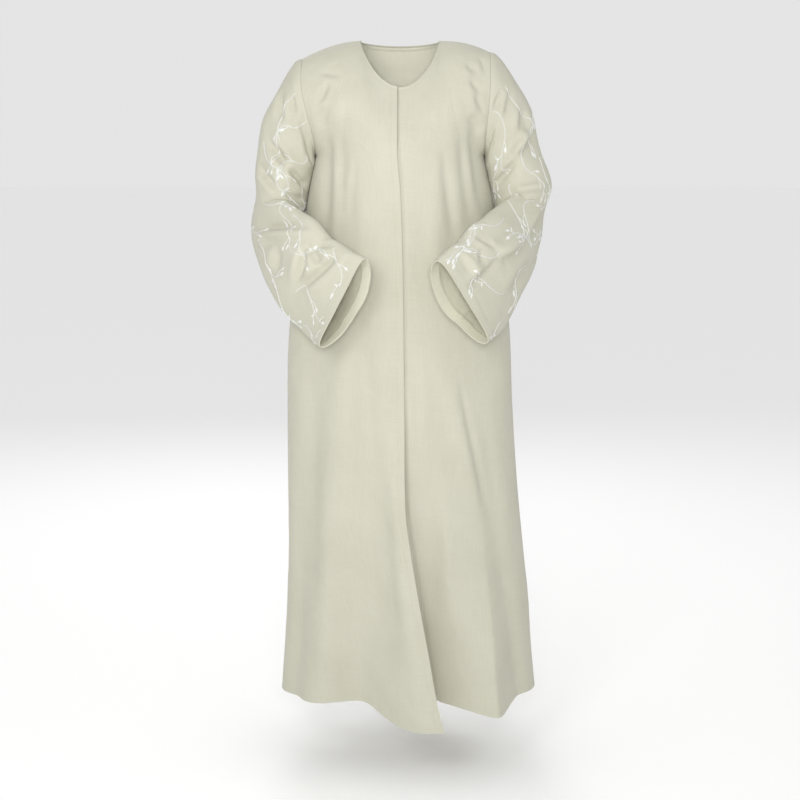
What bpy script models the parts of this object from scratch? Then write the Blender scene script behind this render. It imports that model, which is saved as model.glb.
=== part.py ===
import math

import bpy
from mathutils import Vector

# Abaya cloak, hanging as worn. Metres, +Z up, +X to the wearer's left, the front faces -Y.
# The origin lies midway between the two points where the neck meets the shoulders.

WALL = 0.0016
SEAM_GAP = 0.0003
HEM_HEIGHT = -1.272
UNDERARM_HEIGHT = -0.215
UNDERARM_HALF_WIDTH = 0.160
NECK_HALF_WIDTH = 0.075
NECK_FRONT_REACH = 0.078
NECK_FRONT_DROP = 0.088
NECK_BACK_REACH = 0.058
NECK_BACK_DROP = 0.006
ARMHOLE_FRONT_REACH = 0.070
ARMHOLE_BACK_REACH = 0.074
LAP_LIFT = 0.0038
SLEEVE_STEP_OUT = 0.0025
FRONT_COLUMNS = 13
BACK_COLUMNS = 24
SKIRT_ROWS = 20
CHEST_ROWS = 8
SLEEVE_COLUMNS = 24
SLEEVE_ROWS = 24
SHOULDER_SHARE = 0.5
SLOPE_STEP = 0.005
PANEL_SPAN = 0.4
SLEEVE_FIRST_SECTION = 0.035
SLEEVE_SEAM_SHARE = 0.12
SLEEVE_SQUARE_RUN = 0.22
CORNER_SPREAD = 0.22


def table(columns, *rows):
    names = columns.split()
    return [dict(zip(names, row)) for row in rows]


# Level sections of the body from underarm to hem: how far each reaches from the middle.
SECTIONS = table(
    "height right left front back",
    (-1.272, 0.2360, 0.2700, 0.165, 0.200),
    (-1.180, 0.2290, 0.2610, 0.162, 0.190),
    (-1.090, 0.2235, 0.2545, 0.160, 0.180),
    (-1.000, 0.2200, 0.2450, 0.157, 0.170),
    (-0.850, 0.2200, 0.2300, 0.154, 0.154),
    (-0.700, 0.2195, 0.2195, 0.152, 0.140),
    (-0.540, 0.2135, 0.2115, 0.150, 0.126),
    (-0.400, 0.1910, 0.1910, 0.149, 0.115),
    (-0.300, 0.1775, 0.1770, 0.147, 0.112),
    (-0.215, 0.1600, 0.1600, 0.141, 0.113),
)

# Where the edge of the overlapping front runs, from neck to hem.
LAP_EDGE = table(
    "height across",
    (-1.295, 0.0790),
    (-1.234, 0.0640),
    (-1.130, 0.0475),
    (-1.039, 0.0325),
    (-0.949, 0.0190),
    (-0.888, 0.0110),
    (-0.694, 0.0080),
    (-0.387, 0.0040),
    (-0.277, 0.0000),
    (-0.192, -0.0070),
    (-0.088, -0.0080),
)

# Where the edge of the covered front runs, hidden under the other.
UNDER_EDGE = table(
    "height across",
    (-1.272, 0.0020),
    (-1.000, -0.0200),
    (-0.850, -0.0340),
    (-0.500, -0.0410),
    (-0.088, -0.0530),
)

# How far below or above the plain level the hem runs, by angle round the body in degrees:
# 0 is the wearer's right side seam, 90 the middle of the front, 180 the left side seam.
HEM_RIGHT = table(
    "angle lower",
    (0, 0.002),
    (40, 0.000),
    (60, -0.006),
    (74, -0.005),
    (84, 0.012),
    (92, 0.022),
    (108, 0.023),
)
HEM_LEFT = table(
    "angle lower",
    (90, -0.014),
    (104, -0.010),
    (116, -0.002),
    (128, 0.010),
    (142, 0.002),
    (160, -0.002),
    (180, 0.000),
)
HEM_BACK = table(
    "angle lower",
    (0, 0.002),
    (-40, 0.004),
    (-90, 0.000),
    (-140, 0.004),
    (-180, 0.000),
)

# Long folds of the skirt. Each starts at a share of the way from underarm to hem, runs from one
# angle to another as it falls, and stands out (or in, if negative) by the rise at the hem.
RIGHT_FOLDS = table(
    "starts top_angle hem_angle half_width rise crispness",
    (0.30, 73, 69, 15, -0.034, 2.0),
    (0.42, 92, 103, 17, 0.066, 2.0),
    (0.20, 52, 50, 13, 0.010, 2.0),
    (0.35, 24, 27, 10, -0.012, 2.0),
)
LEFT_FOLDS = table(
    "starts top_angle hem_angle half_width rise crispness",
    (0.30, 73, 69, 15, -0.034, 2.0),
    (0.55, 94, 103, 11, -0.050, 2.0),
    (0.20, 112, 119, 12, 0.008, 2.0),
    (0.60, 132, 128, 10, 0.050, 1.4),
    (0.28, 124, 152, 8, -0.010, 2.0),
)
BACK_FOLDS = table(
    "starts top_angle hem_angle half_width rise crispness",
    (0.35, -24, -22, 8, -0.020, 2.0),
    (0.25, -40, -38, 9, 0.026, 1.8),
    (0.40, -55, -56, 7, -0.026, 2.0),
    (0.30, -72, -75, 9, 0.030, 1.8),
    (0.45, -88, -93, 8, -0.028, 2.0),
    (0.28, -106, -110, 9, 0.028, 1.8),
    (0.50, -124, -127, 7, -0.022, 2.0),
    (0.32, -142, -145, 9, 0.024, 1.8),
    (0.45, -158, -160, 6, -0.014, 2.0),
)

# The shoulder ends, measured outwards from the middle: where the sleeve seam crosses the top.
SHOULDERS = {
    "right": {"side": -1, "tip_out": 0.186, "tip_drop": 0.034, "bend": 1.8},
    "left": {"side": 1, "tip_out": 0.170, "tip_drop": 0.021, "bend": 2.4},
}

# Sections across each sleeve from armhole to cuff. The outer line runs down the arm from the
# shoulder end and the inner line from the underarm, both as (out, forward is minus, up). Front
# and rear give the reach from the middle between them, and bow bends the section outwards.
RIGHT_SLEEVE = table(
    "along outer inner front rear bow",
    (0.035, (0.199, 0.000, -0.045), (0.1655, 0.000, -0.2170), 0.069, 0.072, 0.000),
    (0.085, (0.229, 0.000, -0.087), (0.1665, 0.000, -0.2230), 0.067, 0.071, 0.000),
    (0.160, (0.261, 0.000, -0.145), (0.1692, 0.000, -0.2380), 0.065, 0.070, 0.000),
    (0.240, (0.273, 0.002, -0.212), (0.1743, 0.000, -0.2620), 0.064, 0.071, 0.000),
    (0.325, (0.283, 0.002, -0.275), (0.1807, 0.000, -0.2950), 0.066, 0.076, 0.000),
    (0.415, (0.284, -0.013, -0.330), (0.1890, -0.003, -0.3350), 0.074, 0.082, 0.000),
    (0.525, (0.264, -0.066, -0.374), (0.1940, -0.036, -0.3760), 0.084, 0.084, 0.002),
    (0.700, (0.214, -0.149, -0.415), (0.1570, -0.109, -0.4200), 0.093, 0.097, 0.005),
    (0.845, (0.164, -0.194, -0.449), (0.110, -0.160, -0.4560), 0.092, 0.099, 0.010),
    (1.000, (0.108, -0.256, -0.475), (0.072, -0.225, -0.4910), 0.090, 0.090, 0.017),
)
LEFT_SLEEVE = table(
    "along outer inner front rear bow",
    (0.035, (0.184, 0.000, -0.034), (0.1655, 0.000, -0.2170), 0.069, 0.072, 0.000),
    (0.085, (0.212, 0.000, -0.064), (0.1665, 0.000, -0.2230), 0.067, 0.071, 0.000),
    (0.160, (0.248, 0.000, -0.122), (0.1692, 0.000, -0.2380), 0.065, 0.070, 0.000),
    (0.240, (0.265, 0.002, -0.190), (0.1743, 0.000, -0.2620), 0.064, 0.071, 0.000),
    (0.325, (0.285, 0.002, -0.262), (0.1804, 0.000, -0.2940), 0.066, 0.074, 0.000),
    (0.415, (0.280, -0.013, -0.322), (0.1890, -0.003, -0.3330), 0.074, 0.076, 0.000),
    (0.525, (0.256, -0.066, -0.366), (0.1940, -0.036, -0.3740), 0.084, 0.070, 0.002),
    (0.700, (0.212, -0.149, -0.406), (0.1570, -0.109, -0.4160), 0.092, 0.083, 0.005),
    (0.845, (0.170, -0.200, -0.436), (0.118, -0.160, -0.4480), 0.092, 0.099, 0.010),
    (1.000, (0.120, -0.263, -0.472), (0.077, -0.217, -0.4900), 0.089, 0.089, 0.018),
)

# Folds over a sleeve: along is the share from armhole to cuff, angle goes round the section
# from the outer line (0) over the front (90) and the inner line (180) to the rear (270).
RIGHT_SLEEVE_FOLDS = table(
    "along angle length half_width lean rise",
    (0.20, 50, 0.10, 20, 30, -0.007),
    (0.36, 20, 0.07, 60, 260, -0.008),
    (0.44, 320, 0.06, 40, 0, 0.008),
    (0.62, 40, 0.16, 16, 60, -0.006),
    (0.80, 10, 0.12, 20, -60, 0.006),
    (0.20, 250, 0.10, 22, -30, -0.007),
    (0.55, 215, 0.12, 18, 40, 0.006),
)
LEFT_SLEEVE_FOLDS = table(
    "along angle length half_width lean rise",
    (0.20, 40, 0.10, 22, -20, -0.006),
    (0.34, 0, 0.05, 50, 200, 0.006),
    (0.41, 350, 0.05, 45, 100, -0.005),
    (0.60, 320, 0.16, 16, 60, -0.006),
    (0.78, 30, 0.12, 20, 40, 0.006),
    (0.20, 240, 0.10, 22, 30, -0.007),
    (0.55, 205, 0.12, 18, -40, 0.006),
)

CLOTH = {"colour": (0.688, 0.665, 0.552, 1.0), "roughness": 0.9}


def smooth(share):
    share = min(max(share, 0.0), 1.0)
    return share * share * (3 - 2 * share)


def slopes(keys, values):
    steps = [(b - a) / (q - p) for p, q, a, b in zip(keys, keys[1:], values, values[1:])]
    inner = [(a + b) / 2 for a, b in zip(steps, steps[1:])]
    return [steps[0], *inner, steps[-1]]


def reading(rows, key, column):
    # A smooth curve through one column of a table, held level beyond its ends.
    rows = sorted(rows, key=lambda row: row[key])
    keys = [row[key] for row in rows]
    values = [row[column] for row in rows]
    if not isinstance(values[0], tuple):
        values = [(value,) for value in values]
    lines = [list(zip(one, slopes(keys, one))) for one in zip(*values)]

    def at(place):
        place = min(max(place, keys[0]), keys[-1])
        cell = min(sum(key <= place for key in keys) - 1, len(keys) - 2)
        width = keys[cell + 1] - keys[cell]
        t = (place - keys[cell]) / width
        found = []
        for line in lines:
            (start, leaving), (end, arriving) = line[cell], line[cell + 1]
            found.append(
                start * (1 + 2 * t) * (1 - t) ** 2
                + leaving * width * t * (1 - t) ** 2
                + end * t * t * (3 - 2 * t)
                + arriving * width * t * t * (t - 1)
            )
        return Vector(found) if len(found) > 1 else found[0]

    return at


REACH = {side: reading(SECTIONS, "height", side) for side in ("right", "left", "front", "back")}
LAP_AT = reading(LAP_EDGE, "height", "across")
UNDER_AT = reading(UNDER_EDGE, "height", "across")


def angle_of(across, half_width):
    return math.acos(min(max(-across / half_width, -1.0), 1.0))


def ring_point(height, angle):
    # The plain oval section, and the way out of it.
    wide = REACH["right" if math.cos(angle) > 0 else "left"](height)
    deep = REACH["front" if math.sin(angle) > 0 else "back"](height)
    point = Vector((-wide * math.cos(angle), -deep * math.sin(angle), height))
    outwards = Vector((point.x / wide**2, point.y / deep**2, 0)).normalized()
    return point, outwards


def fold_rise(folds, down, angle):
    total = 0.0
    for fold in folds:
        if down <= fold["starts"]:
            continue
        grown = (down - fold["starts"]) / (1 - fold["starts"])
        middle = fold["top_angle"] + (fold["hem_angle"] - fold["top_angle"]) * grown
        off = abs(math.degrees(angle) - middle) / fold["half_width"]
        total += fold["rise"] * grown**1.3 * math.exp(-(off ** fold["crispness"]))
    return total


def skirt_point(down, angle, folds, hem, lift=0.0):
    height = UNDERARM_HEIGHT + (HEM_HEIGHT - UNDERARM_HEIGHT) * down
    point, outwards = ring_point(height, angle)
    point += outwards * (fold_rise(folds, down, angle) + lift)
    point.z -= hem(math.degrees(angle)) * down**3
    return point


def shoulder_point(which, share):
    # Along the top from the sleeve seam (0) to the neck (1).
    end = SHOULDERS[which]
    out = NECK_HALF_WIDTH + (end["tip_out"] - NECK_HALF_WIDTH) * (1 - share)
    return Vector((end["side"] * out, 0, -end["tip_drop"] * (1 - share) ** end["bend"]))


def neck_point(turn, at_back=False):
    # Round the neck opening, from the right neck point (0) to the left one (half a turn).
    reach = NECK_BACK_REACH if at_back else -NECK_FRONT_REACH
    drop = NECK_BACK_DROP if at_back else NECK_FRONT_DROP
    return Vector(
        (-NECK_HALF_WIDTH * math.cos(turn), reach * math.sin(turn), -drop * math.sin(turn) ** 1.5)
    )


def armhole_point(which, up, at_back=False):
    # Round the armhole from the underarm (0) to the shoulder end (1).
    end = SHOULDERS[which]
    rise = (1 - math.cos(math.pi * up)) / 2
    low = UNDERARM_HALF_WIDTH
    out = low + (end["tip_out"] - low) * smooth(1.25 * rise)
    reach = ARMHOLE_BACK_REACH if at_back else -ARMHOLE_FRONT_REACH
    gap = SEAM_GAP if at_back else -SEAM_GAP
    height = UNDERARM_HEIGHT + (-end["tip_drop"] - UNDERARM_HEIGHT) * rise
    return Vector((end["side"] * out, reach * math.sin(math.pi * up) + gap, height))


def leaning_column(foot, leave, head, up, at_back, over_shoulder):
    # A curved line from the underarm level over the chest or back to the top edge.
    span = (head - foot).length
    inwards = -1 if at_back else 1
    square = Vector((0, 1.45 * inwards, 0.35))
    steep = Vector((0, 0.45 * inwards, 0.85))
    arrive = steep.lerp(square, over_shoulder) * span
    rest = 1 - up
    return (
        foot * (1 + 2 * up) * rest**2
        + leave * span * up * rest**2
        + head * up**2 * (3 - 2 * up)
        + arrive * up**2 * (up - 1)
    )


def top_edge_point(which, reach, at_back):
    # The top edge, from the sleeve seam (0) past the neck point to the middle of the neck (1).
    gap = Vector((0, SEAM_GAP if at_back else -SEAM_GAP, 0))
    if reach <= SHOULDER_SHARE:
        return shoulder_point(which, max(reach, 0.0) / SHOULDER_SHARE) + gap
    turn = math.pi / 2 * (reach - SHOULDER_SHARE) / (1 - SHOULDER_SHARE)
    turn = turn if which == "right" else math.pi - turn
    return neck_point(turn, at_back) + gap


def softened_edge_point(which, reach, up, at_back):
    # Lower down, the corner at the neck point is felt less and less.
    spread = CORNER_SPREAD * (1 - up)
    beside = [top_edge_point(which, reach + off, at_back) for off in (-spread, 0, spread)]
    return beside[0] * 0.25 + beside[1] * 0.5 + beside[2] * 0.25


def chest_point(which, up, reach, foot, leave, at_back, lift=0.0):
    # Above the underarm level. Reach runs from the sleeve seam (0) to the middle (1).
    head = softened_edge_point(which, reach, up, at_back) + Vector((0, -0.8, 0.5)) * lift
    over_shoulder = 1 - smooth((1 - abs(1 - reach) - 0.25) / 0.65)
    point = leaning_column(foot, leave, head, up, at_back, over_shoulder)
    side = SHOULDERS[which]["side"]
    low, _ = ring_point(UNDERARM_HEIGHT, 0.0 if side < 0 else math.pi)
    lower, _ = ring_point(UNDERARM_HEIGHT - SLOPE_STEP, 0.0 if side < 0 else math.pi)
    tip = softened_edge_point(which, 0.0, up, at_back)
    plain = leaning_column(low, (low - lower) / SLOPE_STEP, tip, up, at_back, 1.0)
    pull = armhole_point(which, up, at_back) - plain
    easing = 1 + (smooth(up / 0.5) - 1) * smooth((reach - 0.03) / 0.38)
    return point + pull * easing * max(0.0, 1 - reach) ** 1.8


def edge_heading(which, down):
    # The angle at which a front's free edge stands, in the section at this share of the drop.
    height = UNDERARM_HEIGHT + (HEM_HEIGHT - UNDERARM_HEIGHT) * down
    across = LAP_AT(height) if which == "right" else UNDER_AT(height)
    return angle_of(across, REACH["right" if across < 0 else "left"](height))


def front_point(which, share, row):
    # One grid point of a front: share runs from the side seam (0) to the front edge (1).
    right = which == "right"
    folds = RIGHT_FOLDS if right else LEFT_FOLDS
    down = max(0.0, 1 - row / SKIRT_ROWS)
    side_angle = 0.0 if right else math.pi
    angle = side_angle + (edge_heading(which, down) - side_angle) * share
    lift = LAP_LIFT * smooth((share - 0.5) / 0.25) if right else 0.0
    foot = skirt_point(down, angle, folds, HEM_AT[which], lift)
    if row <= SKIRT_ROWS:
        return foot
    lower = skirt_point(SLOPE_STEP, angle, folds, HEM_AT[which], lift)
    reach = abs(angle - side_angle) / (math.pi / 2)
    up = (row - SKIRT_ROWS) / CHEST_ROWS
    return chest_point(which, up, reach, foot, (foot - lower) / (foot.z - lower.z), False, lift)


def back_point(share, row):
    # One grid point of the back: share runs from the right side seam to the left one.
    down = max(0.0, 1 - row / SKIRT_ROWS)
    foot = skirt_point(down, -math.pi * share, BACK_FOLDS, HEM_AT["back"])
    if row <= SKIRT_ROWS:
        return foot
    lower = skirt_point(SLOPE_STEP, -math.pi * share, BACK_FOLDS, HEM_AT["back"])
    which = "right" if share < 0.5 else "left"
    up = (row - SKIRT_ROWS) / CHEST_ROWS
    leave = (foot - lower) / (foot.z - lower.z)
    return chest_point(which, up, 1 - abs(1 - 2 * share), foot, leave, True)


HEM_AT = {
    name: reading(rows, "angle", "lower")
    for name, rows in (("right", HEM_RIGHT), ("left", HEM_LEFT), ("back", HEM_BACK))
}


def sleeve_reader(rows):
    return {
        column: reading(rows, "along", column)
        for column in ("outer", "inner", "front", "rear", "bow")
    }


def sleeve_section(read, along, turn):
    # A point round the section, from the outer line over the front to the inner line.
    outer, inner = read["outer"](along), read["inner"](along)
    middle = (outer + inner) / 2
    ahead = (read["outer"](along + 0.02) + read["inner"](along + 0.02)) / 2
    behind = (read["outer"](along - 0.02) + read["inner"](along - 0.02)) / 2
    half = (outer - inner) / 2
    across = (ahead - behind).cross(half).normalized()
    reach = read["front" if math.sin(turn) > 0 else "rear"](along)
    bowed = half.normalized() * read["bow"](along) * math.sin(turn) ** 2
    return middle + half * math.cos(turn) + across * reach * math.sin(turn) + bowed


def armhole_loop(which, turn):
    # The armhole as a closed loop, with the same turning as the sleeve sections.
    wrapped = turn % (2 * math.pi)
    at_back = wrapped > math.pi
    up = wrapped / math.pi - 1 if at_back else 1 - wrapped / math.pi
    point = armhole_point(which, up, at_back)
    point.x = abs(point.x) + SLEEVE_STEP_OUT
    return point


def sleeve_fold_rise(folds, along, turn):
    total = 0.0
    for fold in folds:
        off_along = (along - fold["along"]) / fold["length"]
        middle = fold["angle"] + fold["lean"] * (along - fold["along"])
        off_turn = (math.degrees(turn) - middle + 180) % 360 - 180
        total += fold["rise"] * math.exp(-(off_along**2) - (off_turn / fold["half_width"]) ** 2)
    return total


def sleeve_point(which, read, folds, along, turn):
    point = sleeve_section(read, max(along, SLEEVE_FIRST_SECTION), turn)
    eased = smooth(along / SLEEVE_SEAM_SHARE)
    if along < SLEEVE_SEAM_SHARE:
        # Near the armhole the section eases into the seam's own curve, leaving it squarely.
        loop = armhole_loop(which, turn)
        square = loop + Vector((SLEEVE_SQUARE_RUN * along, 0, 0))
        point = square.lerp(point, eased)
    middle = (read["outer"](along) + read["inner"](along)) / 2
    outwards = (point - middle).normalized()
    point = point + outwards * sleeve_fold_rise(folds, along, turn) * eased
    return Vector((SHOULDERS[which]["side"] * point.x, point.y, point.z))


def sheet_object(name, columns, rows, place, closed=False, flip=False, wall_offset=1.0):
    # A lofted grid with a wall of even thickness.
    across = columns if closed else columns + 1
    points = [place(column, row) for row in range(rows + 1) for column in range(across)]
    faces = []
    for row in range(rows):
        for column in range(columns):
            near, far = column, (column + 1) % across
            face = (
                row * across + near,
                row * across + far,
                (row + 1) * across + far,
                (row + 1) * across + near,
            )
            faces.append(face[::-1] if flip else face)
    mesh = bpy.data.meshes.new(name)
    mesh.from_pydata([tuple(point) for point in points], [], faces)
    mesh.update()
    made = bpy.data.objects.new(name, mesh)
    COLLECTION.objects.link(made)
    wall = made.modifiers.new("wall", "SOLIDIFY")
    wall.thickness = WALL
    wall.offset = wall_offset
    wall.use_even_offset = False
    material = bpy.data.materials.new(name + "_cloth")
    material.use_nodes = True
    shader = material.node_tree.nodes["Principled BSDF"]
    shader.inputs["Base Color"].default_value = CLOTH["colour"]
    shader.inputs["Roughness"].default_value = CLOTH["roughness"]
    shader.inputs["Metallic"].default_value = 0.0
    mesh.materials.append(material)
    return made


def cleared(share, columns, both_ends=False):
    # Columns stop a seam's width short of the side seams.
    short = SEAM_GAP / PANEL_SPAN
    share = share / columns
    return short + share * (1 - short * (2 if both_ends else 1))


for old in list(bpy.data.objects):
    bpy.data.objects.remove(old)

COLLECTION = bpy.data.collections.new("abaya_cloak")
bpy.context.scene.collection.children.link(COLLECTION)

BODY_ROWS = SKIRT_ROWS + CHEST_ROWS
sheet_object(
    "front_right",
    FRONT_COLUMNS,
    BODY_ROWS,
    lambda column, row: front_point("right", cleared(column, FRONT_COLUMNS), row),
)
sheet_object(
    "front_left",
    FRONT_COLUMNS,
    BODY_ROWS,
    lambda column, row: front_point("left", cleared(column, FRONT_COLUMNS), row),
    flip=True,
)
sheet_object(
    "back",
    BACK_COLUMNS,
    BODY_ROWS,
    lambda column, row: back_point(cleared(column, BACK_COLUMNS, both_ends=True), row),
    flip=True,
)
for side, rows, folds in (
    ("right", RIGHT_SLEEVE, RIGHT_SLEEVE_FOLDS),
    ("left", LEFT_SLEEVE, LEFT_SLEEVE_FOLDS),
):
    sheet_object(
        "sleeve_" + side,
        SLEEVE_COLUMNS,
        SLEEVE_ROWS,
        lambda column, row, side=side, read=sleeve_reader(rows), folds=folds: sleeve_point(
            side, read, folds, row / SLEEVE_ROWS, 2 * math.pi * column / SLEEVE_COLUMNS
        ),
        closed=True,
        flip=side == "left",
        wall_offset=-1.0,
    )
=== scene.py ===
import math
import bpy
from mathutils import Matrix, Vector
from mathutils.bvhtree import BVHTree
import numpy as np


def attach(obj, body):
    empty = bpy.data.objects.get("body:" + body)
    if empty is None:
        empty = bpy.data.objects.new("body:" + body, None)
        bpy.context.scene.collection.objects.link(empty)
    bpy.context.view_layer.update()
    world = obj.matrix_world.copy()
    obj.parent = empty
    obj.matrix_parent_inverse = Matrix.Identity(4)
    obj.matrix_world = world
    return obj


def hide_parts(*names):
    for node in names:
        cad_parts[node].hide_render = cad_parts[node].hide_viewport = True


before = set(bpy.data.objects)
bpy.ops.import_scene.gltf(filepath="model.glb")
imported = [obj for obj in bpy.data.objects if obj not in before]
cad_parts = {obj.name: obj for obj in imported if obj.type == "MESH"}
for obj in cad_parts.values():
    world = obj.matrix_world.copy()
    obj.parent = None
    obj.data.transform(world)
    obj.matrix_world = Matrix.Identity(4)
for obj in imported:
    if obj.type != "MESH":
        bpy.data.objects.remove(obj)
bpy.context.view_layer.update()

# The cloak as cloth: five thin panels on the forms of the solids, with their creases, turned
# edges, weave, stitching and the embroidered vines on the sleeves. Metres, front faces -Y.

clothSizes = {
    "solidWall": 0.0016,      # thickness of the solid's wall, its outer side is kept
    "cloth": 0.0009,
    "turnedEdge": 0.0019,     # where an edge is folded back inside
    "seamGap": 0.0003,
    "seamDepth": 0.0035,      # how far a seam's edges stand inwards
    "seamRound": 0.0005,      # how far they have turned at the first of their two lines
    "seamOut": (0.00008, 0.00012),  # how far each line stands past the cloth's border
    "turnedPast": 0.001,      # a turned edge reaches this far past its stitches
    "rimPuff": 0.0003,        # a turned edge is full, and its stitches pull it in
    "rimShare": (0.45, 0.35),  # where the puff lies in a turned edge, and its width
    "stitchDip": 0.0006,
    "stitchReach": 0.0016,
    "sharpAngle": 60,         # degrees from which a bend of the cloth reads as an edge
    "grainCell": 0.034,       # size of the soft unevenness of the cloth
    "grainRise": 0.0014,
    "crumpleCell": 0.011,
    "crumpleRise": 0.00035,
}


# small tools
def newObject(name, data):
    made = bpy.data.objects.new(name, data)
    bpy.context.scene.collection.objects.link(made)
    return made


def smooth(share):
    share = np.clip(share, 0.0, 1.0)
    return share * share * (3 - 2 * share)


def ramp(value, start, width):
    return smooth((value - start) / width)


def unit(vectors):
    return vectors / np.maximum(np.linalg.norm(vectors, axis=-1, keepdims=True), 1e-12)


def curveThrough(rows):
    # A smooth curve through (key, value) rows, held level beyond its ends.
    rows = sorted(rows, key=lambda row: row[0])
    keys = np.array([row[0] for row in rows], float)
    values = np.array([row[1] for row in rows], float)
    steps = (np.diff(values, axis=0).T / np.diff(keys)).T
    slopes = np.concatenate([steps[:1], (steps[1:] + steps[:-1]) / 2, steps[-1:]])

    def at(place):
        place = np.clip(np.asarray(place, float), keys[0], keys[-1])
        cell = np.clip(np.searchsorted(keys, place, side="right") - 1, 0, len(keys) - 2)
        width = keys[cell + 1] - keys[cell]
        t = (place - keys[cell]) / width
        if values.ndim > 1:
            t, width = t[..., None], width[..., None]
        return (
            values[cell] * (1 + 2 * t) * (1 - t) ** 2
            + slopes[cell] * width * t * (1 - t) ** 2
            + values[cell + 1] * t * t * (3 - 2 * t)
            + slopes[cell + 1] * width * t * t * (t - 1)
        )

    return at


def softField(across, along, cell, seed):
    # Smooth random hills from -1 to 1, about one cell apart.
    lattice = np.random.default_rng(seed).uniform(-1, 1, (64, 64))
    x, y = across / cell, along / cell
    left, low = np.floor(x).astype(int), np.floor(y).astype(int)
    tx, ty = smooth(x - left), smooth(y - low)

    def between(dy):
        first = lattice[left % 64, (low + dy) % 64]
        second = lattice[(left + 1) % 64, (low + dy) % 64]
        return first * (1 - tx) + second * tx

    return between(0) * (1 - ty) + between(1) * ty


# the body, as in the solids
bodySizes = {
    "hemHeight": -1.272,
    "underarmHeight": -0.215,
    "underarmHalfWidth": 0.160,
    "neckHalfWidth": 0.075,
    "neckFrontReach": 0.078,
    "neckFrontDrop": 0.088,
    "neckBackReach": 0.058,
    "neckBackDrop": 0.006,
    "armholeFrontReach": 0.070,
    "armholeBackReach": 0.074,
    "lapLift": 0.0038,
    "lapSettle": 0.0013,      # the lap's edge lies nearer to the front under it
    "shoulderShare": 0.5,
    "skirtRows": 20,
    "chestRows": 8,
    "slopeStep": 0.005,
    "foldGrowth": 1.3,        # power by which a long fold grows towards the hem
    "hemGrowth": 3,
    "armholeEase": 1.25,
    "neckRound": 1.5,
    "softening": 0.22,        # how far the top edge is softened towards the underarm
    "steepArrival": (0, 0.45, 0.85),   # how cloth reaches the top edge at the neck
    "squareArrival": (0, 1.45, 0.35),  # and over the shoulder
    "overShoulder": (0.25, 0.65),      # between which shares of the top edge it changes
    "liftWay": (0, -0.8, 0.5),         # which way the lap stands off the front under it
    "easedBeside": (0.03, 0.38),
    "armholePull": 1.8,
}

bodySections = [  # height, then how far right, left, front and back
    (-1.272, 0.2360, 0.2700, 0.165, 0.200),
    (-1.180, 0.2290, 0.2610, 0.162, 0.190),
    (-1.090, 0.2235, 0.2545, 0.160, 0.180),
    (-1.000, 0.2200, 0.2450, 0.157, 0.170),
    (-0.850, 0.2200, 0.2300, 0.154, 0.154),
    (-0.700, 0.2195, 0.2195, 0.152, 0.140),
    (-0.540, 0.2135, 0.2115, 0.150, 0.126),
    (-0.400, 0.1910, 0.1910, 0.149, 0.115),
    (-0.300, 0.1775, 0.1770, 0.147, 0.112),
    (-0.215, 0.1600, 0.1600, 0.141, 0.113),
]
reachOf = {
    side: curveThrough([(row[0], row[place]) for row in bodySections])
    for place, side in enumerate(("right", "left", "front", "back"), 1)
}
lapEdge = curveThrough([
    (-1.295, 0.0790), (-1.234, 0.0640), (-1.130, 0.0475), (-1.039, 0.0325),
    (-0.949, 0.0190), (-0.888, 0.0110), (-0.694, 0.0080), (-0.387, 0.0040),
    (-0.277, 0.0000), (-0.192, -0.0070), (-0.088, -0.0080),
])
coveredEdge = curveThrough([
    (-1.272, 0.0020), (-1.000, -0.0200), (-0.850, -0.0340), (-0.500, -0.0410),
    (-0.088, -0.0530),
])
hemLower = {  # angle round the body, how much lower the hem hangs there
    "right": curveThrough([
        (0, 0.002), (40, 0.000), (60, -0.006), (74, -0.005), (84, 0.012), (92, 0.022),
        (108, 0.023),
    ]),
    "left": curveThrough([
        (90, -0.014), (104, -0.010), (116, -0.002), (128, 0.010), (142, 0.002),
        (160, -0.002), (180, 0.000),
    ]),
    "back": curveThrough([
        (0, 0.002), (-40, 0.004), (-90, 0.000), (-140, 0.004), (-180, 0.000),
    ]),
}
longFolds = {  # starts, angle at its top, angle at the hem, half width, rise, crispness
    "right": [
        (0.30, 73, 69, 15, -0.034, 2.0), (0.42, 92, 103, 17, 0.066, 2.0),
        (0.20, 52, 50, 13, 0.010, 2.0), (0.35, 24, 27, 10, -0.012, 2.0),
    ],
    "left": [
        (0.30, 73, 69, 15, -0.034, 2.0), (0.55, 94, 103, 11, -0.036, 2.0),
        (0.20, 112, 119, 12, 0.008, 2.0), (0.60, 132, 128, 10, 0.050, 1.4),
        (0.28, 124, 152, 8, -0.010, 2.0),
    ],
    "back": [
        (0.35, -24, -22, 8, -0.020, 2.0), (0.25, -40, -38, 9, 0.026, 1.8),
        (0.40, -55, -56, 7, -0.026, 2.0), (0.30, -72, -75, 9, 0.030, 1.8),
        (0.45, -88, -93, 8, -0.028, 2.0), (0.28, -106, -110, 9, 0.028, 1.8),
        (0.50, -124, -127, 7, -0.022, 2.0), (0.32, -142, -145, 9, 0.024, 1.8),
        (0.45, -158, -160, 6, -0.014, 2.0),
    ],
}
shoulderEnds = {
    "right": {"side": -1, "tipOut": 0.186, "tipDrop": 0.034, "bend": 1.8},
    "left": {"side": 1, "tipOut": 0.170, "tipDrop": 0.021, "bend": 2.4},
}


def ringPoint(height, angle):
    wide = np.where(np.cos(angle) > 0, reachOf["right"](height), reachOf["left"](height))
    deep = np.where(np.sin(angle) > 0, reachOf["front"](height), reachOf["back"](height))
    point = np.stack([-wide * np.cos(angle), -deep * np.sin(angle), height + 0 * angle], -1)
    out = np.stack([point[..., 0] / wide**2, point[..., 1] / deep**2, 0 * wide], -1)
    return point, unit(out)


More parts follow.
